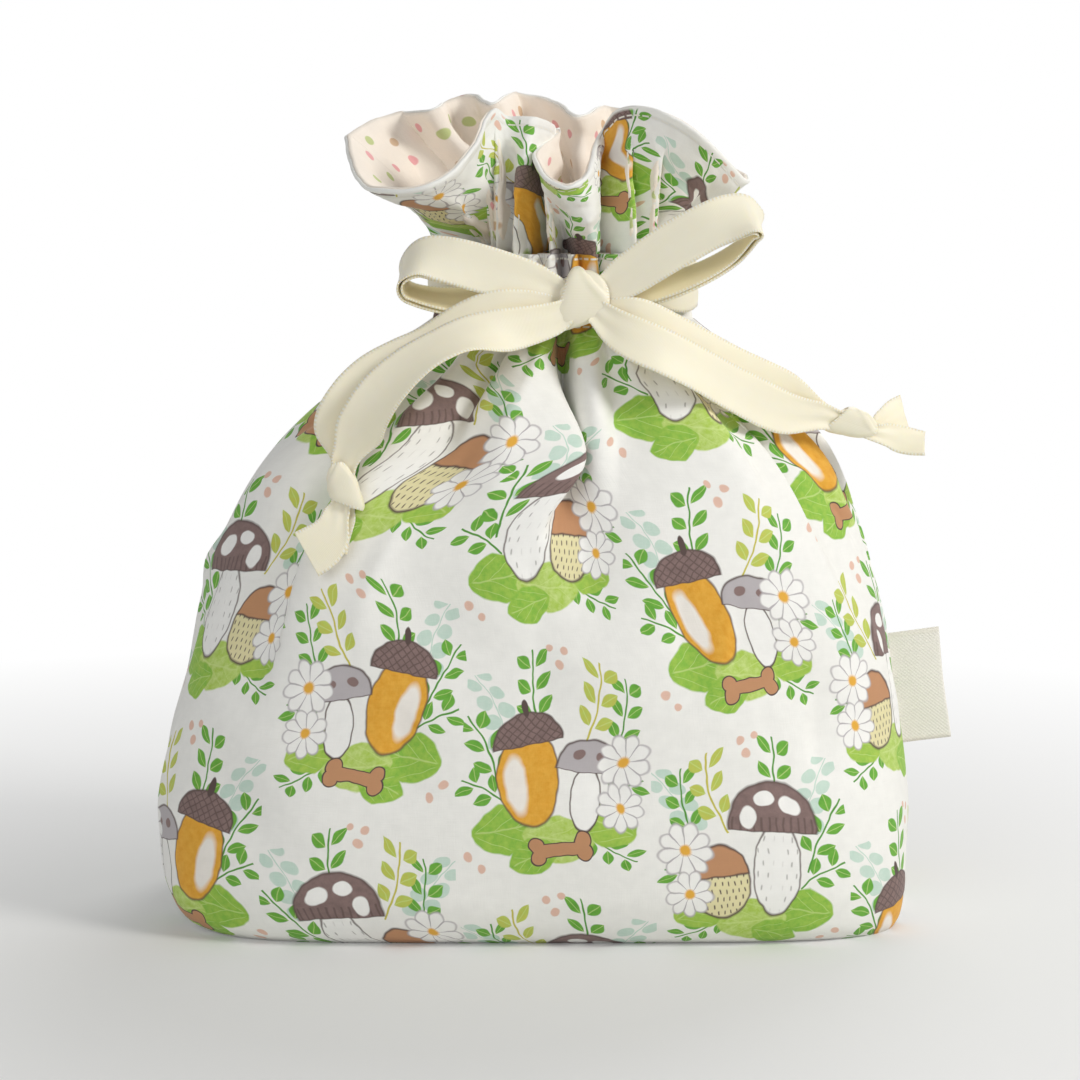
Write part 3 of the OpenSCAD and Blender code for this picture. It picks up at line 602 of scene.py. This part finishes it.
def smallCreases(count, seed):
    # slight creases of worn cloth, the same on every run
    pick = np.random.default_rng(seed).uniform
    rows = []
    for k in range(count):
        side = 180 * (k % 2)
        a, h = side + pick(8, 172), pick(0.34, 0.9)
        drift = (a - side - 90) * pick(0.02, 0.16)
        length, depth = pick(0.1, 0.28), pick(0.5, 1.5) * (1 if k % 3 else -1)
        foot = a + drift + pick(-6, 6)
        rows.append((a, h, foot, h - length, depth, pick(1.6, 4.5), pick(1.6, 4.5), 0.5, 0))
    return np.array(rows)


longFolds = np.concatenate([longFolds, smallCreases(64, 11)])


def turnGap(a, b):
    return (a - b + 540) % 360 - 180


def gatherDepth(a, h):
    total = np.zeros(np.broadcast(a, h).shape)
    for top, foot, footAt, depth, topWide, footWide in gathers:
        t = np.clip((h - footAt) / (neckAt - footAt), 0, 1)
        off = np.abs(turnGap(a, foot + (top - foot) * t)) / (footWide + (topWide - footWide) * t)
        total = total + depth * smoothStep(t) * np.exp(-off ** 1.7)
    return total * bagShape["pleatDeep"]


def foldDepth(a, h):
    # depth of the folds in mm, and degrees by which cloth rolls sideways over them
    depths, rolls = np.zeros((2, *np.broadcast(a, h).shape))
    for top, topAt, foot, footAt, depth, left, right, peak, roll in longFolds:
        t = (topAt - h) / (topAt - footAt)
        off = turnGap(a, top + (foot - top) * t)
        spread = 0.75 + 0.45 * np.clip(t, 0, 1)
        wide = np.where(off < 0, left, right) * spread
        fade = smoothStep(t / peak) * smoothStep((1.1 - t) / (1.1 - peak))
        depths = depths + depth * fade * np.exp(-np.abs(off / wide) ** 1.8)
        if roll:
            edge = (-left if roll > 0 else right) * spread
            rolls = rolls + roll * fade ** 2 * np.exp(-((off - 1.5 * edge) / (0.85 * edge)) ** 2)
    return depths, rolls


def wallPlace(a, h, folds=1, pull=0, extra=1):
    # outer face of the bag in millimetres, a in degrees and h the share of the height
    shape = bagShape
    b, k, n = [easeTable(h, wallRows[:, 0], wallRows[:, column]) for column in (1, 2, 3)]
    corner = b * (1 - shape["rightCorner"] * smoothStep(np.cos(np.radians(a)) * 1.5 - 0.2))
    sizes = zip(shape["base"], shape["belly"], shape["neck"], (corner, b))
    halfWide, halfDeep = [(belly + (base - belly) * share + (neck - belly) * k) / 2
                          for base, belly, neck, share in sizes]
    depths, rolls = foldDepth(a, h)
    turned = np.radians(a + extra * rolls)
    c, s = np.cos(turned), np.sin(turned)
    bulge = (np.abs(c) ** n + np.abs(s) ** n) ** (-1 / n)
    fold = pull + folds * gatherDepth(a, h) + extra * depths
    return placesOf(shape["neckShift"] * k ** 0.65 + (halfWide * bulge - fold) * c,
                    (halfDeep * bulge - fold) * s, h * shape["neckTop"])


clothLift = -85  # flat place of the foot of the wall
frillCut = 36


def wallMiddle(h, start):
    return wallPlace(start + 83, h, 0, 0, 0)


def flatHeight(h):
    return walkedAlong(wallMiddle(np.linspace(0, h, 80), 180))[-1] + clothLift


rimAt = flatHeight(1) + frillCut


def clothAcross(grid, deep, wide):
    # place across the flat cloth; width that the shape doesn't show lies in its valleys
    steps = stepsAlong(grid)
    share = steps * (0.12 + np.clip(deep, 0, 1) ** 1.5)
    spare = np.maximum(wide - steps.sum(axis=0), 0)
    walked = np.cumsum(steps + share * spare / np.maximum(share.sum(axis=0), 1e-9), axis=0)
    return walked - walked[-1:] / 2


def bagPanel(start, columns, rows, baseRows, pull=0, folds=1, inset=0, slit=0, shift=0):
    # grid of one panel: from the middle of the base, up the wall, to the top of the channel
    shape = bagShape
    a = np.linspace(start, start + 180, columns)[:, None]
    share = np.linspace(0, 1, rows)
    h = 0.7 * share + 0.3 * share ** 2
    room = pull * smoothStep((h - 0.46) / 0.45) + 1.3 * (pull > 0) * smoothStep((h - 0.75) / 0.15)
    wall = wallPlace(a, h, folds, room)
    out = wallNormals(wall)
    # slack of the cloth: slow waves, a pinch at the side seams, the swell of the channel
    seam = 90 - np.abs(a - start - 90)
    body = smoothStep(h / 0.06) * smoothStep((0.97 - h) / 0.2)
    slack = softNoise(a, h * 125, 46, 1 + start) * 0.8 + softNoise(a, h * 125, 19, 4.2) * 0.22
    swell = 0.9 * np.exp(-((h - channel["middle"]) / 0.028) ** 2) \
        - 0.5 * np.exp(-((h - channel["foot"]) / 0.007) ** 2)
    pinch = np.exp(-(seam / 1.2) ** 2) * smoothStep(h / 0.05)
    wall = wall + out * (slack * body + swell - pinch * 0.7 - inset)[..., None]
    wall[..., 2] = np.maximum(wall[..., 2], inset)
    wall[[0, -1], :, 1] = 0
    gap = np.exp(-((h - channel["slit"]) / 0.034) ** 4) * np.exp(-(seam / 5) ** 2) * slit
    wall[..., 1] += gap * (1 if start == 0 else -1)
    # the base, from its middle line to the edge of the wall
    lines = np.linspace(0, 1, baseRows)[:-1]
    grid = np.concatenate([wall[:, :1] * placesOf(1, lines, 1), wall], axis=1)
    deep = np.maximum(folds * gatherDepth(a, h) + foldDepth(a, h)[0], 0) / 6
    deep = np.pad(deep, ((0, 0), (baseRows - 1, 0)))
    gathered = smoothStep((grid[0, :, 2] / shape["neckTop"] - 0.5) / 0.42)
    shown = shape["printWide"] + (shape["printAtNeck"] - shape["printWide"]) * gathered
    climb = np.concatenate([shape["halfBase"] * (lines - 1), walkedAlong(wallMiddle(h, start))])
    flat = placesOf(clothAcross(grid, deep, shown if folds else 0) + shift, climb + clothLift)
    return grid * mm, flat * mm


frillShape = {
    "wide": 88, "deep": 58, "tall": 34, "shift": 3, "columns": 360, "rows": 44,
    "gatherFade": 0.65, "walk": 175,
    # angle, depth and width of each fold that is pressed into the neck
    "folds": ((257, 18, 4), (238, 11, 4.5), (297, 18, 4.4), (218, 11, 5), (199, 9, 5), (273, 9, 3.4),
              (208, 10, 3.6), (228, 7, 3.2), (314, 7, 3.8), (329, 9, 5), (346, 9, 5),
              (36, 13, 4.5), (70, 14, 4.5), (105, 14, 4.5), (141, 13, 4.5), (15, 8, 4), (53, 8, 4),
              (88, 8, 4), (123, 8, 4), (158, 8, 4))}

# angle at the neck, share of half the width, share of half the depth, share of the height
frontRim = np.array([
    (180, -1, 0, 0.71), (189, -0.95, -0.4, 0.53), (198, -0.84, -0.76, 0.38),
    (208, -0.57, -0.97, 0.41), (218, -0.36, -0.8, 0.62), (228, -0.26, -0.46, 0.88),
    (238, -0.19, -0.4, 0.85), (248, -0.05, -0.46, 0.84), (257, 0.05, -0.1, 0.76),
    (267, -0.07, -0.62, 0.6), (277, 0.05, -1, 0.42), (286, 0.2, -0.92, 0.48),
    (298, 0.27, -0.06, 0.76), (308, 0.36, -0.24, 0.9), (320, 0.54, -0.5, 0.88),
    (334, 0.75, -0.6, 0.71), (348, 0.96, -0.36, 0.45), (360, 1, 0, 0.46)])
backRim = np.array([
    (0, 1, 0, 0.46), (12, 0.9, 0.42, 0.54), (24, 0.75, 0.62, 0.7),
    (36, 0.55, 0.26, 0.76), (47, 0.44, 0.72, 0.88), (58, 0.27, 0.82, 0.91),
    (70, 0.16, 0.26, 0.86), (81, 0.03, 0.78, 0.97), (93, -0.18, 0.98, 1),
    (105, -0.27, 0.3, 0.94), (116, -0.36, 0.86, 1), (128, -0.53, 0.86, 0.94),
    (141, -0.57, 0.3, 0.9), (153, -0.72, 0.7, 0.88), (167, -0.9, 0.46, 0.8),
    (180, -1, 0, 0.71)])


def frillGrid(table, lining, shift):
    shape, neckTop, columns = frillShape, bagShape["neckTop"], frillShape["columns"]
    rim = curveThrough(table, np.linspace(0, len(table) - 1, columns))
    v = np.linspace(0, 1, shape["rows"])[None, :, None]
    a = rim[:, :1]
    folded, smooth = wallPlace(a, 1), wallPlace(a, 1, 0.22)
    dents = sum(depth * np.exp(-((a - at) / width) ** 2) for at, depth, width in shape["folds"])
    dented = wallPlace(a, 1, 0.22, dents)
    full = smooth + (folded - smooth) * (1 - smoothStep(v / shape["gatherFade"])) \
        + (dented - smooth) * (1 - smoothStep((v - 0.62) / 0.38))
    plain = wallPlace(a, 1, 1, 3.5 + 0.9 * dents)
    neck = plain + (full - plain) * smoothStep(v / 0.12) if lining else full
    top = placesOf(shape["shift"] + rim[:, 1] * shape["wide"] / 2, rim[:, 2] * shape["deep"] / 2,
                   rim[:, 3] * shape["tall"] + neckTop)[:, None]
    lean = v ** 1.35
    grid = neck + (top - neck) * lean
    grid[..., 2] = neckTop + (top[..., 2] - neckTop) * v[..., 0] ** 0.86
    outer = full + (top - full) * lean
    outer[..., 2] = grid[..., 2]
    out = wallNormals(outer)
    walk, rise = np.linspace(0, shape["walk"], columns)[:, None], v[..., 0] * frillCut
    crumple = softNoise(walk, rise, 13, 2 + len(table)) * 0.55 + softNoise(walk, rise, 5.5, 7) * 0.16
    crumple = crumple * smoothStep(v[..., 0] / 0.35) * smoothStep(np.minimum(walk, shape["walk"] - walk) / 6)
    inset = 0.9 * smoothStep(v / 0.12) if lining else 0
    grid = grid + out * (crumple[..., None] - inset)
    deep = gatherDepth(a, 1) / 6 * (1 - 0.7 * v[..., 0])
    neckWide, rimWide = bagShape["printAtNeck"], walkedAlong(grid[:, -1])[-1]
    shown = neckWide + (rimWide - neckWide) * smoothStep(v[0, :, 0])
    across = clothAcross(grid, deep, shown)
    flat = placesOf((across[:, -1:] * 0.8 if lining else across) + shift, rimAt - frillCut + rise)
    if lining:
        # the top of the lining ends inside the outer cloth's turn
        grid[:, -1] += unitRows(grid[:, -1] - grid[:, -3]) * 0.2
    else:
        # the foot of the frill runs on a little way inside the top of the body
        grid[:, 0] -= out[:, 0] * 0.45
        grid[:, 0, 2] -= 1.2
        # the cloth turns over the rim, in four steps of 40 degrees
        up = unitRows(grid[:, -1:] - grid[:, -3:-2])
        step = np.arange(1, 5)
        turn = np.radians(40 * step)[:, None]
        rolled = grid[:, -1:] + (out[:, -1:] * (np.cos(turn) - 1) + up * np.sin(turn)) * 0.5
        grid = np.concatenate([grid, rolled], axis=1)
        flat = np.concatenate([flat, flat[:, -1:] + placesOf(0, 0.4 * step)], axis=1)
    grid[[0, -1], :, 1] = 0
    return grid * mm, flat * mm


stitching = {"pitch": 2.6, "rows": (flatHeight(channel["foot"]), flatHeight(channel["top"]), rimAt - 2.2)}
printedCotton = clothMaterial("printedCotton", printInks, printLayout, stitching, rimAt)
dottedLining = liningMaterial("dottedLining", liningInks)
print("cloth materials made")

# side, angle at its first seam, shift of its print
panels = (("front", 180, 0), ("back", 0, 11))
for side, start, shift in panels:
    grid, flat = bagPanel(start, *bagShape["counts"], slit=1.4, shift=shift)
    panel = clothGrid(side + "Panel", grid, flat, [printedCotton], 0.5 * mm)
    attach(panel, "pouch")
    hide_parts("outer_" + side + "_panel")

for side, start, _ in panels:
    grid, flat = bagPanel(start, *bagShape["liningCounts"], pull=7.2, folds=0, inset=1)
    panel = clothGrid(side + "Lining", grid, flat, [dottedLining], 0.4 * mm)
    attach(panel, "pouch")
    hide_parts("lining_" + side + "_panel")
print("bag panels made")

for side, table, sign, shift in (("front", frontRim, -1, 0), ("back", backRim, 1, 11)):
    body = side + "_frill"
    for lining in (False, True):
        grid, flat = frillGrid(table, lining, shift)
        skin = clothGrid(side + "Frill" + ("Lining" if lining else "Cloth"), grid, flat,
                         [dottedLining if lining else printedCotton], 0.45 * mm)
        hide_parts(body + ("_lining" if lining else "_outer"))
        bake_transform(skin)
print("frill made")

ribbonShape = {"wide": 10, "thick": 0.35}
bowMiddle = np.array([10, -25.8, 137])
satinFace = satinMaterial("satinFace", "face", satinLook, ribbonShape["wide"])
# the reverse face is a yellower copy of the face: painted shade on the inner sides of loops and tails, and on
# the knot cores
satinShadedBack = satinMaterial("satinShadedBack", "back", satinLook, ribbonShape["wide"])
satins = [satinFace, satinShadedBack]

# place from the middle of the bow's knot, direction across the ribbon, share of the width
bowRoutes = {
    "left": [
        (-2.5, -1.6, 0.8, 0.2, 0.1, 1, 0.45), (-5.4, -1.8, 1.7, 0.2, 0.1, 1, 0.65),
        (-11, -2.8, 3.9, 0.2, 0.1, 1, 0.85), (-19, -4, 6, 0.2, 0.1, 1, 1),
        (-27, -4.7, 8.2, 0.15, 0.35, 1, 1), (-33.5, -4, 9, 0.1, 0.8, 0.9, 1),
        (-38, -2, 5.5, 0, 1, 0.5, 1), (-36.5, 0.6, 1, 0, 1, 0.3, 1), (-28, 1.6, -1, 0, 1, 0.5, 1),
        (-19, 1.8, -0.8, 0, 0.8, 0.8, 0.8), (-12, 1.8, 0, 0, 0.4, 1, 0.6),
        (-5.4, 1.8, 0.5, 0, 0, 1, 0.45), (-2.5, 1.6, 0.5, 0, 0, 1, 0.35)],
    "right": [
        (2.5, -1.6, 0.8, -0.3, 0.1, 1, 0.45), (6.2, -1.8, 2.4, -0.3, 0.1, 1, 0.7),
        (10, -2.4, 5, -0.5, 0.1, 1, 0.9), (19, -3.8, 11, -0.5, 0.1, 1, 1),
        (28, -4.7, 16, -0.4, 0.2, 1, 1), (35, -4, 18, -0.1, 0.7, 0.8, 1),
        (38, -1.5, 15, 0.1, 1, 0.3, 1), (33, 1.6, 9, 0, 1, 0.3, 1),
        (24, 1.8, 4, -0.1, 1, 0.45, 0.9), (13, 1.8, 1, -0.1, 0.6, 0.9, 0.65),
        (6.2, 1.8, 0.5, 0, 0, 1, 0.45), (2.5, 1.6, 0.5, 0, 0, 1, 0.35)]}
leftTail = [
    (-2.5, -2.6, -2.4, 0, 0.1, 1, 0.5), (-5.6, -3.3, -3.2, 0, 0.1, 1, 0.7),
    (-14.5, -6.4, -4, 0, 0.25, 1, 0.9), (-23.5, -9.8, -5.5, -0.1, 0.8, 0.8, 1),
    (-30.5, -12.2, -8.5, -0.4, 0.95, 0.65, 1), (-36.5, -13.4, -12, -0.8, 0.8, 0.55, 1),
    (-42, -14, -16.5, -1, 0.5, 0.5, 1), (-46, -13.8, -21.5, -1, 0.2, 0.25, 1),
    (-48.5, -12.6, -27, -1, 0.1, 0, 1), (-49.3, -11, -33.6, -1, 0, 0, 0.55),
    (-49.6, -11, -38.5, -1, 0, 0.1, 0.4)]
leftCutFront = [(-50.3, -11.4, -43, -1, 0, 0.3, 0.45), (-52.6, -12.2, -46.4, -0.9, 0, 0.6, 0.8),
                (-55.6, -12.8, -48.8, -0.7, 0, 0.8, 1), (-58.4, -13.1, -50.4, -0.6, 0, 1, 1.05)]
leftCutRear = [(-49.6, -10.6, -43.2, -1, 0, 0.3, 0.45), (-50, -11, -46, -1, 0, 0.2, 0.65),
               (-50.6, -11.4, -49.4, -1, 0, 0.2, 0.85), (-51.2, -11.8, -52.4, -0.9, 0, 0.2, 0.95)]
rightTail = [
    (2.5, -2.6, -2.6, 0, 0.1, 1, 0.45), (5.6, -3.3, -3.7, 0, 0.1, 1, 0.7),
    (11, -4.4, -5.8, 0.15, 0.2, 1, 0.9), (18, -3.8, -9, 0.35, 0.5, 1, 1),
    (25.5, -1.2, -13, 0.45, 0.6, 1, 1), (32.5, 2.2, -17, 0.4, 0.5, 1, 1),
    (43.5, 7.2, -22.5, 0.35, 0.3, 1, 0.95), (54, 11, -26.4, 0.25, 0, 1, 0.5),
    (59, 11.8, -27.8, 0.2, 0.1, 1, 0.4)]
rightCutFront = [(64, 11.2, -29.8, 0.1, 0.3, 1, 0.4), (67.5, 11.8, -30.6, 0.1, 0.5, 1, 0.6),
                 (71, 12, -31.2, 0.1, 0.65, 0.8, 0.7), (74.6, 12, -31.8, 0.1, 0.8, 0.6, 0.75)]
rightCutRear = [(64, 12.6, -28.4, 0, 0.3, 1, 0.4), (66.6, 13.8, -27.6, 0, 0.4, 1, 0.6),
                (69.2, 15, -27.1, 0, 0.5, 1, 0.75), (71.8, 16.2, -27, 0, 0.6, 1, 0.85)]


def ribbonGrid(route, steps=8, off=0, slide=0, crown=0.35, seed=0):
    rows = curveThrough(route, np.linspace(0, len(route) - 1, (len(route) - 1) * steps + 1))
    place, side, share = rows[:, :3], rows[:, 3:6], rows[:, 6]
    along = unitRows(np.gradient(place, axis=0))
    side = unitRows(side - along * np.sum(side * along, axis=1, keepdims=True))
    out = np.cross(along, side)
    place = place + out * off + side * (slide * smoothStep(2 * share - 1))[:, None]
    s = np.linspace(-1, 1, 11)[None, :, None]
    walked = walkedAlong(place)
    # narrow places are gathered into a few small pleats
    tight = np.clip(1 - share, 0, 1)[:, None, None]
    pleats = np.cos(s * 2 * math.pi + seed) * 0.4 * tight
    ripple = (np.sin(walked * 0.21 + seed) * 0.12)[:, None, None] * s
    lift = crown * (1 - s * s) + pleats + ripple
    half = ribbonShape["wide"] / 2 * share[:, None, None]
    grid = place[:, None] + side[:, None] * half * s + out[:, None] * lift
    flat = placesOf((walked - walked[-1] / 2)[:, None], s[..., 0] * ribbonShape["wide"] / 2)
    return grid, flat, place, walked[-1]


def makeRibbon(title, route, faces, middle=bowMiddle, **how):
    grid, flat, path, length = ribbonGrid(route, **how)
    strip = clothGrid(title, (grid + middle) * mm, flat * mm, faces, ribbonShape["thick"] * mm, 0)
    return strip, (path + middle) * mm, length * mm


def wrapKnot(title, place, size, axis, seed=0):
    # a ribbon wound once round the others: it leans, and its upper corner is folded over
    wide, tall, deep = size
    theta = np.linspace(0, 2 * math.pi, 129)[:, None]
    s = np.linspace(1, -1, 41)[None]
    r = (np.abs(np.cos(theta)) ** 3 + np.abs(np.sin(theta)) ** 3) ** (-1 / 3)
    up = np.sin(theta)
    left = -0.76 + 0.38 * up
    right = 1.05 - 0.55 * np.maximum(up, 0) ** 3 - 1.1 * np.maximum(-up, 0) ** 3
    x = wide / 2 * (left + (right - left) * (s + 1) / 2)
    over = s + 1.235 * up - 1.07 + 0.1 * np.sin(theta * 3 + seed)
    under = s * 0.8 - 0.9 * up - 0.75
    r = r * (1 - 0.2 * np.abs(s) ** 5 - 0.07 * smoothStep(over / 0.16) - 0.05 * smoothStep(under / 0.3)
             + 0.04 * np.exp(-((over + 0.22) / 0.2) ** 2) - 0.03 * np.sin(s * 3 + seed + up))
    grid = placesOf(x, -deep / 2 * np.cos(theta) * r, tall / 2 * up * r)
    flat = placesOf(theta * tall / 2 - 10, s * ribbonShape["wide"] / 2)
    turn = np.array(Vector((1, 0, 0)).rotation_difference(Vector(axis)).to_matrix())
    middle = np.array(place) + bowMiddle
    grid = grid @ turn.T + middle
    knot = clothGrid(title, grid * mm, flat * mm, [satinFace], 0.4 * mm, -1, wrapped=True)
    bm = bmesh.new()
    bmesh.ops.create_uvsphere(bm, u_segments=24, v_segments=14, radius=0.5)
    for v in bm.verts:
        v.co = (turn @ (np.array(v.co) * (wide * 0.9, deep * 0.8, tall * 0.8)) + middle) * mm
    core = finishMesh(title + "Core", bm, [satinShadedBack])
    return knot, core


bowKnot, bowCore = wrapKnot("bowKnot", (0, 0, 0), (11.6, 13.2, 8), (1, 0, 0))
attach(bowKnot, "pouch")
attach(bowCore, "pouch")
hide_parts("bow_knot")

for side, sign in (("left", -1), ("right", 1)):
    body = side + "_loop"
    for layer, inside in (("Outer", 0), ("Inner", -0.9 * sign)):
        loop, path, length = makeRibbon(side + "Loop" + layer, bowRoutes[side], satins[::sign],
                                        off=inside, crown=-0.3 * sign, seed=sign + inside)
        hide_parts(body + "_" + layer.lower())
        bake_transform(loop)
print("bow made")

# side, route, cut ends, and place, direction and size of the end knot
tails = (("left", -1, leftTail, leftCutFront, leftCutRear,
          (-49.5, -11, -38.5), (-0.2, 0, 1), (10.4, 6.9, 5.4)),
         ("right", 1, rightTail, rightCutFront, rightCutRear,
          (59, 12, -27.5), (1, 0, -0.32), (10.2, 6.8, 5.4)))
for side, sign, route, cutFront, cutRear, knotAt, axis, size in tails:
    body = side + "_tail"
    knot, core = wrapKnot(side + "EndKnot", knotAt, size, axis, 1.5)
    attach(knot, body)
    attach(core, body)
    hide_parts(side + "_end_knot")
    for layer, cut, way in (("Front", cutFront, -1), ("Rear", cutRear, 1)):
        tail, path, length = makeRibbon(side + "Tail" + layer, route + cut, satins[::sign],
                                        off=-0.9 * way * sign, slide=2.4 * way, crown=-0.35 * sign,
                                        seed=way * 2 + sign)
        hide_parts(side + "_tail_" + layer.lower(), side + "_cut_" + layer.lower())
        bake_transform(tail)
print("tails made")

# ribbons round the neck, from the side seams to the bow, and inside the channel
neckRibbon = {"gap": 0.9, "drop": 7.5, "reach": 8.6, "apart": 2.6}
middle = np.array([bagShape["neckShift"], 0, bagShape["neckTop"] - neckRibbon["drop"]])
for side, sign in (("left", -1), ("right", 1)):
    halfWide, halfDeep = np.array(bagShape["neck"]) / 2
    endAt = math.degrees(math.acos((3.5 + sign * 2.5) * sign / (halfWide + neckRibbon["gap"])))
    for layer, gap, lift in (("", 0.55, 0), ("Under", 0, 0.5)):
        step = np.arange(15)
        turn = np.radians(-3 + (endAt + 3) * step / 14)
        slit = 4 * np.maximum(0, 1 - step / 1.2)  # the ribbon comes out of the slit at the seam
        away = neckRibbon["gap"] + gap
        route = placesOf(sign * (halfWide + away - slit) * np.cos(turn),
                         -(halfDeep + away + 0.8 * smoothStep((step - 10) / 4)) * np.sin(turn),
                         lift + 0.5 * np.sin(step * 0.9) - smoothStep((step - 8) / 6),
                         0, 0, 1, 0.96 - 0.5 * smoothStep((step - 11) / 3))
        lead = makeRibbon(side + "Lead" + layer, route, satins[::-sign], middle,
                          steps=5, crown=-0.25 * sign, seed=lift)[0]
        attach(lead, "pouch")
        if not layer:
            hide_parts(side + "_lead")
    # the drawstring in its channel
    turn = np.radians((180 if sign < 0 else 0) + 5 + 350 * np.arange(31) / 30)
    reach = neckRibbon["reach"]
    route = placesOf((halfWide - reach) * np.cos(turn), (halfDeep - reach) * np.sin(turn),
                     neckRibbon["apart"] * sign, 0, 0, 1, 0.46)
    string = makeRibbon(side + "Drawstring", route, [satinFace], middle, steps=3, crown=0.2)[0]
    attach(string, "pouch")
    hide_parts(side + "_drawstring")
print("neck ribbons made")

tagShape = {"halfTall": 12.5, "out": 11.6, "fold": 0.28, "at": 48.5, "thick": 0.3}


def makeTag(shape):
    half, fold = shape["halfTall"], shape["fold"]
    low, middle, high = [wallPlace(0, (shape["at"] + z) / bagShape["neckTop"], 0, 0, 0)
                         for z in (-half, 0, half)]
    up = unitRows(high - low)
    out = np.array([up[2], 0, -up[0]])
    reach = shape["out"] - fold
    # section of the folded tape: out along one layer, round the fold, and back along the other
    side, bend = np.linspace(-0.9, reach, 26), np.linspace(0, math.pi, 9)[1:-1]
    x = np.concatenate([side, reach + fold * np.sin(bend), side[::-1]])[:, None]
    y = np.concatenate([side * 0 - fold, -fold * np.cos(bend), side * 0 + fold])[:, None]
    z = np.linspace(-half, half, 33)
    share = x / shape["out"]
    grid = middle + out * (x - 0.12 * np.cos(z * 0.24))[..., None] + up * z[:, None]
    grid[..., 1] += y + 0.55 * np.sin(z * 0.16 + 0.6) * share ** 2 + 0.35 * share
    flat = placesOf(walkedAlong(grid) - 12, z)
    tag = clothGrid("sideTag", grid * mm, flat * mm, [tapeMaterial("cottonTape", half)],
                    shape["thick"] * mm, 0)
    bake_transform(tag)
    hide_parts("side_tag")


makeTag(tagShape)
print("tag made")

studio = {
    "floor": "#E6E6E4", "world": 0.32, "shadow": 0.9,
    # name, place in metres, size, power, colour
    "lights": (("keyLight", (0.66, -0.36, 0.56), 0.28, 4, (1, 0.985, 0.96)),
               ("fillLight", (-0.35, -0.75, 0.4), 0.6, 1.5, (0.96, 0.98, 1)),
               ("backLight", (0.25, 0.7, 0.6), 0.5, 2.3, (1, 1, 1)))}


def seenDirectly(s):
    # 1 for what the camera sees, also in a shine or through the cloth
    path = s.node("ShaderNodeLightPath", {}, {})
    rays = [Value(s, path.outputs[ray]) for ray in ("Is Camera Ray", "Is Glossy Ray", "Is Transmission Ray")]
    return rays[0].most(rays[1]).most(rays[2])


def makeStudio(look):
    s = Shader(bpy.data.materials.new("paleFloor"))
    paint = s.value("ShaderNodeBsdfDiffuse", {}, {"Color": look["floor"]})
    glow = s.value("ShaderNodeEmission", {}, {"Color": (1, 1, 1, 1), "Strength": 1})
    # the shadow fades into white round the pouch
    far = s.vector("ADD", s.value("ShaderNodeTexCoord", {}, {}, "Object"), (0.02, 0.05, 0))
    fade = s.vector("LENGTH", far).below(0.22, 0.16)
    near = s.layered(fade, glow, s.layered(1 - look["shadow"], paint, glow))
    s.node("ShaderNodeOutputMaterial", {}, {0: s.layered(seenDirectly(s), paint, near)})
    bm = bmesh.new()
    bmesh.ops.create_grid(bm, x_segments=1, y_segments=1, size=3)
    floor = finishMesh("floor", bm, [s.owner])

    world = Shader(bpy.data.worlds.new("studioWorld"))
    bpy.context.scene.world = world.owner
    soft, white = [world.value("ShaderNodeBackground", {}, {"Color": (1, 1, 1, 1), "Strength": strength})
                   for strength in (look["world"], 1)]
    world.node("ShaderNodeOutputWorld", {}, {0: world.layered(seenDirectly(world), soft, white)})

    for title, place, size, power, colour in look["lights"]:
        data = bpy.data.lights.new(title, "AREA")
        data.shape = "DISK"
        data.size, data.energy, data.color = size, power, colour
        lamp = addObject(title, data)
        lamp.location = place
        lamp.rotation_euler = (Vector((0, 0, 0.08)) - Vector(place)).to_track_quat("-Z", "Y").to_euler()


makeStudio(studio)
bpy.context.scene.view_settings.view_transform = "Standard"
print("studio made")
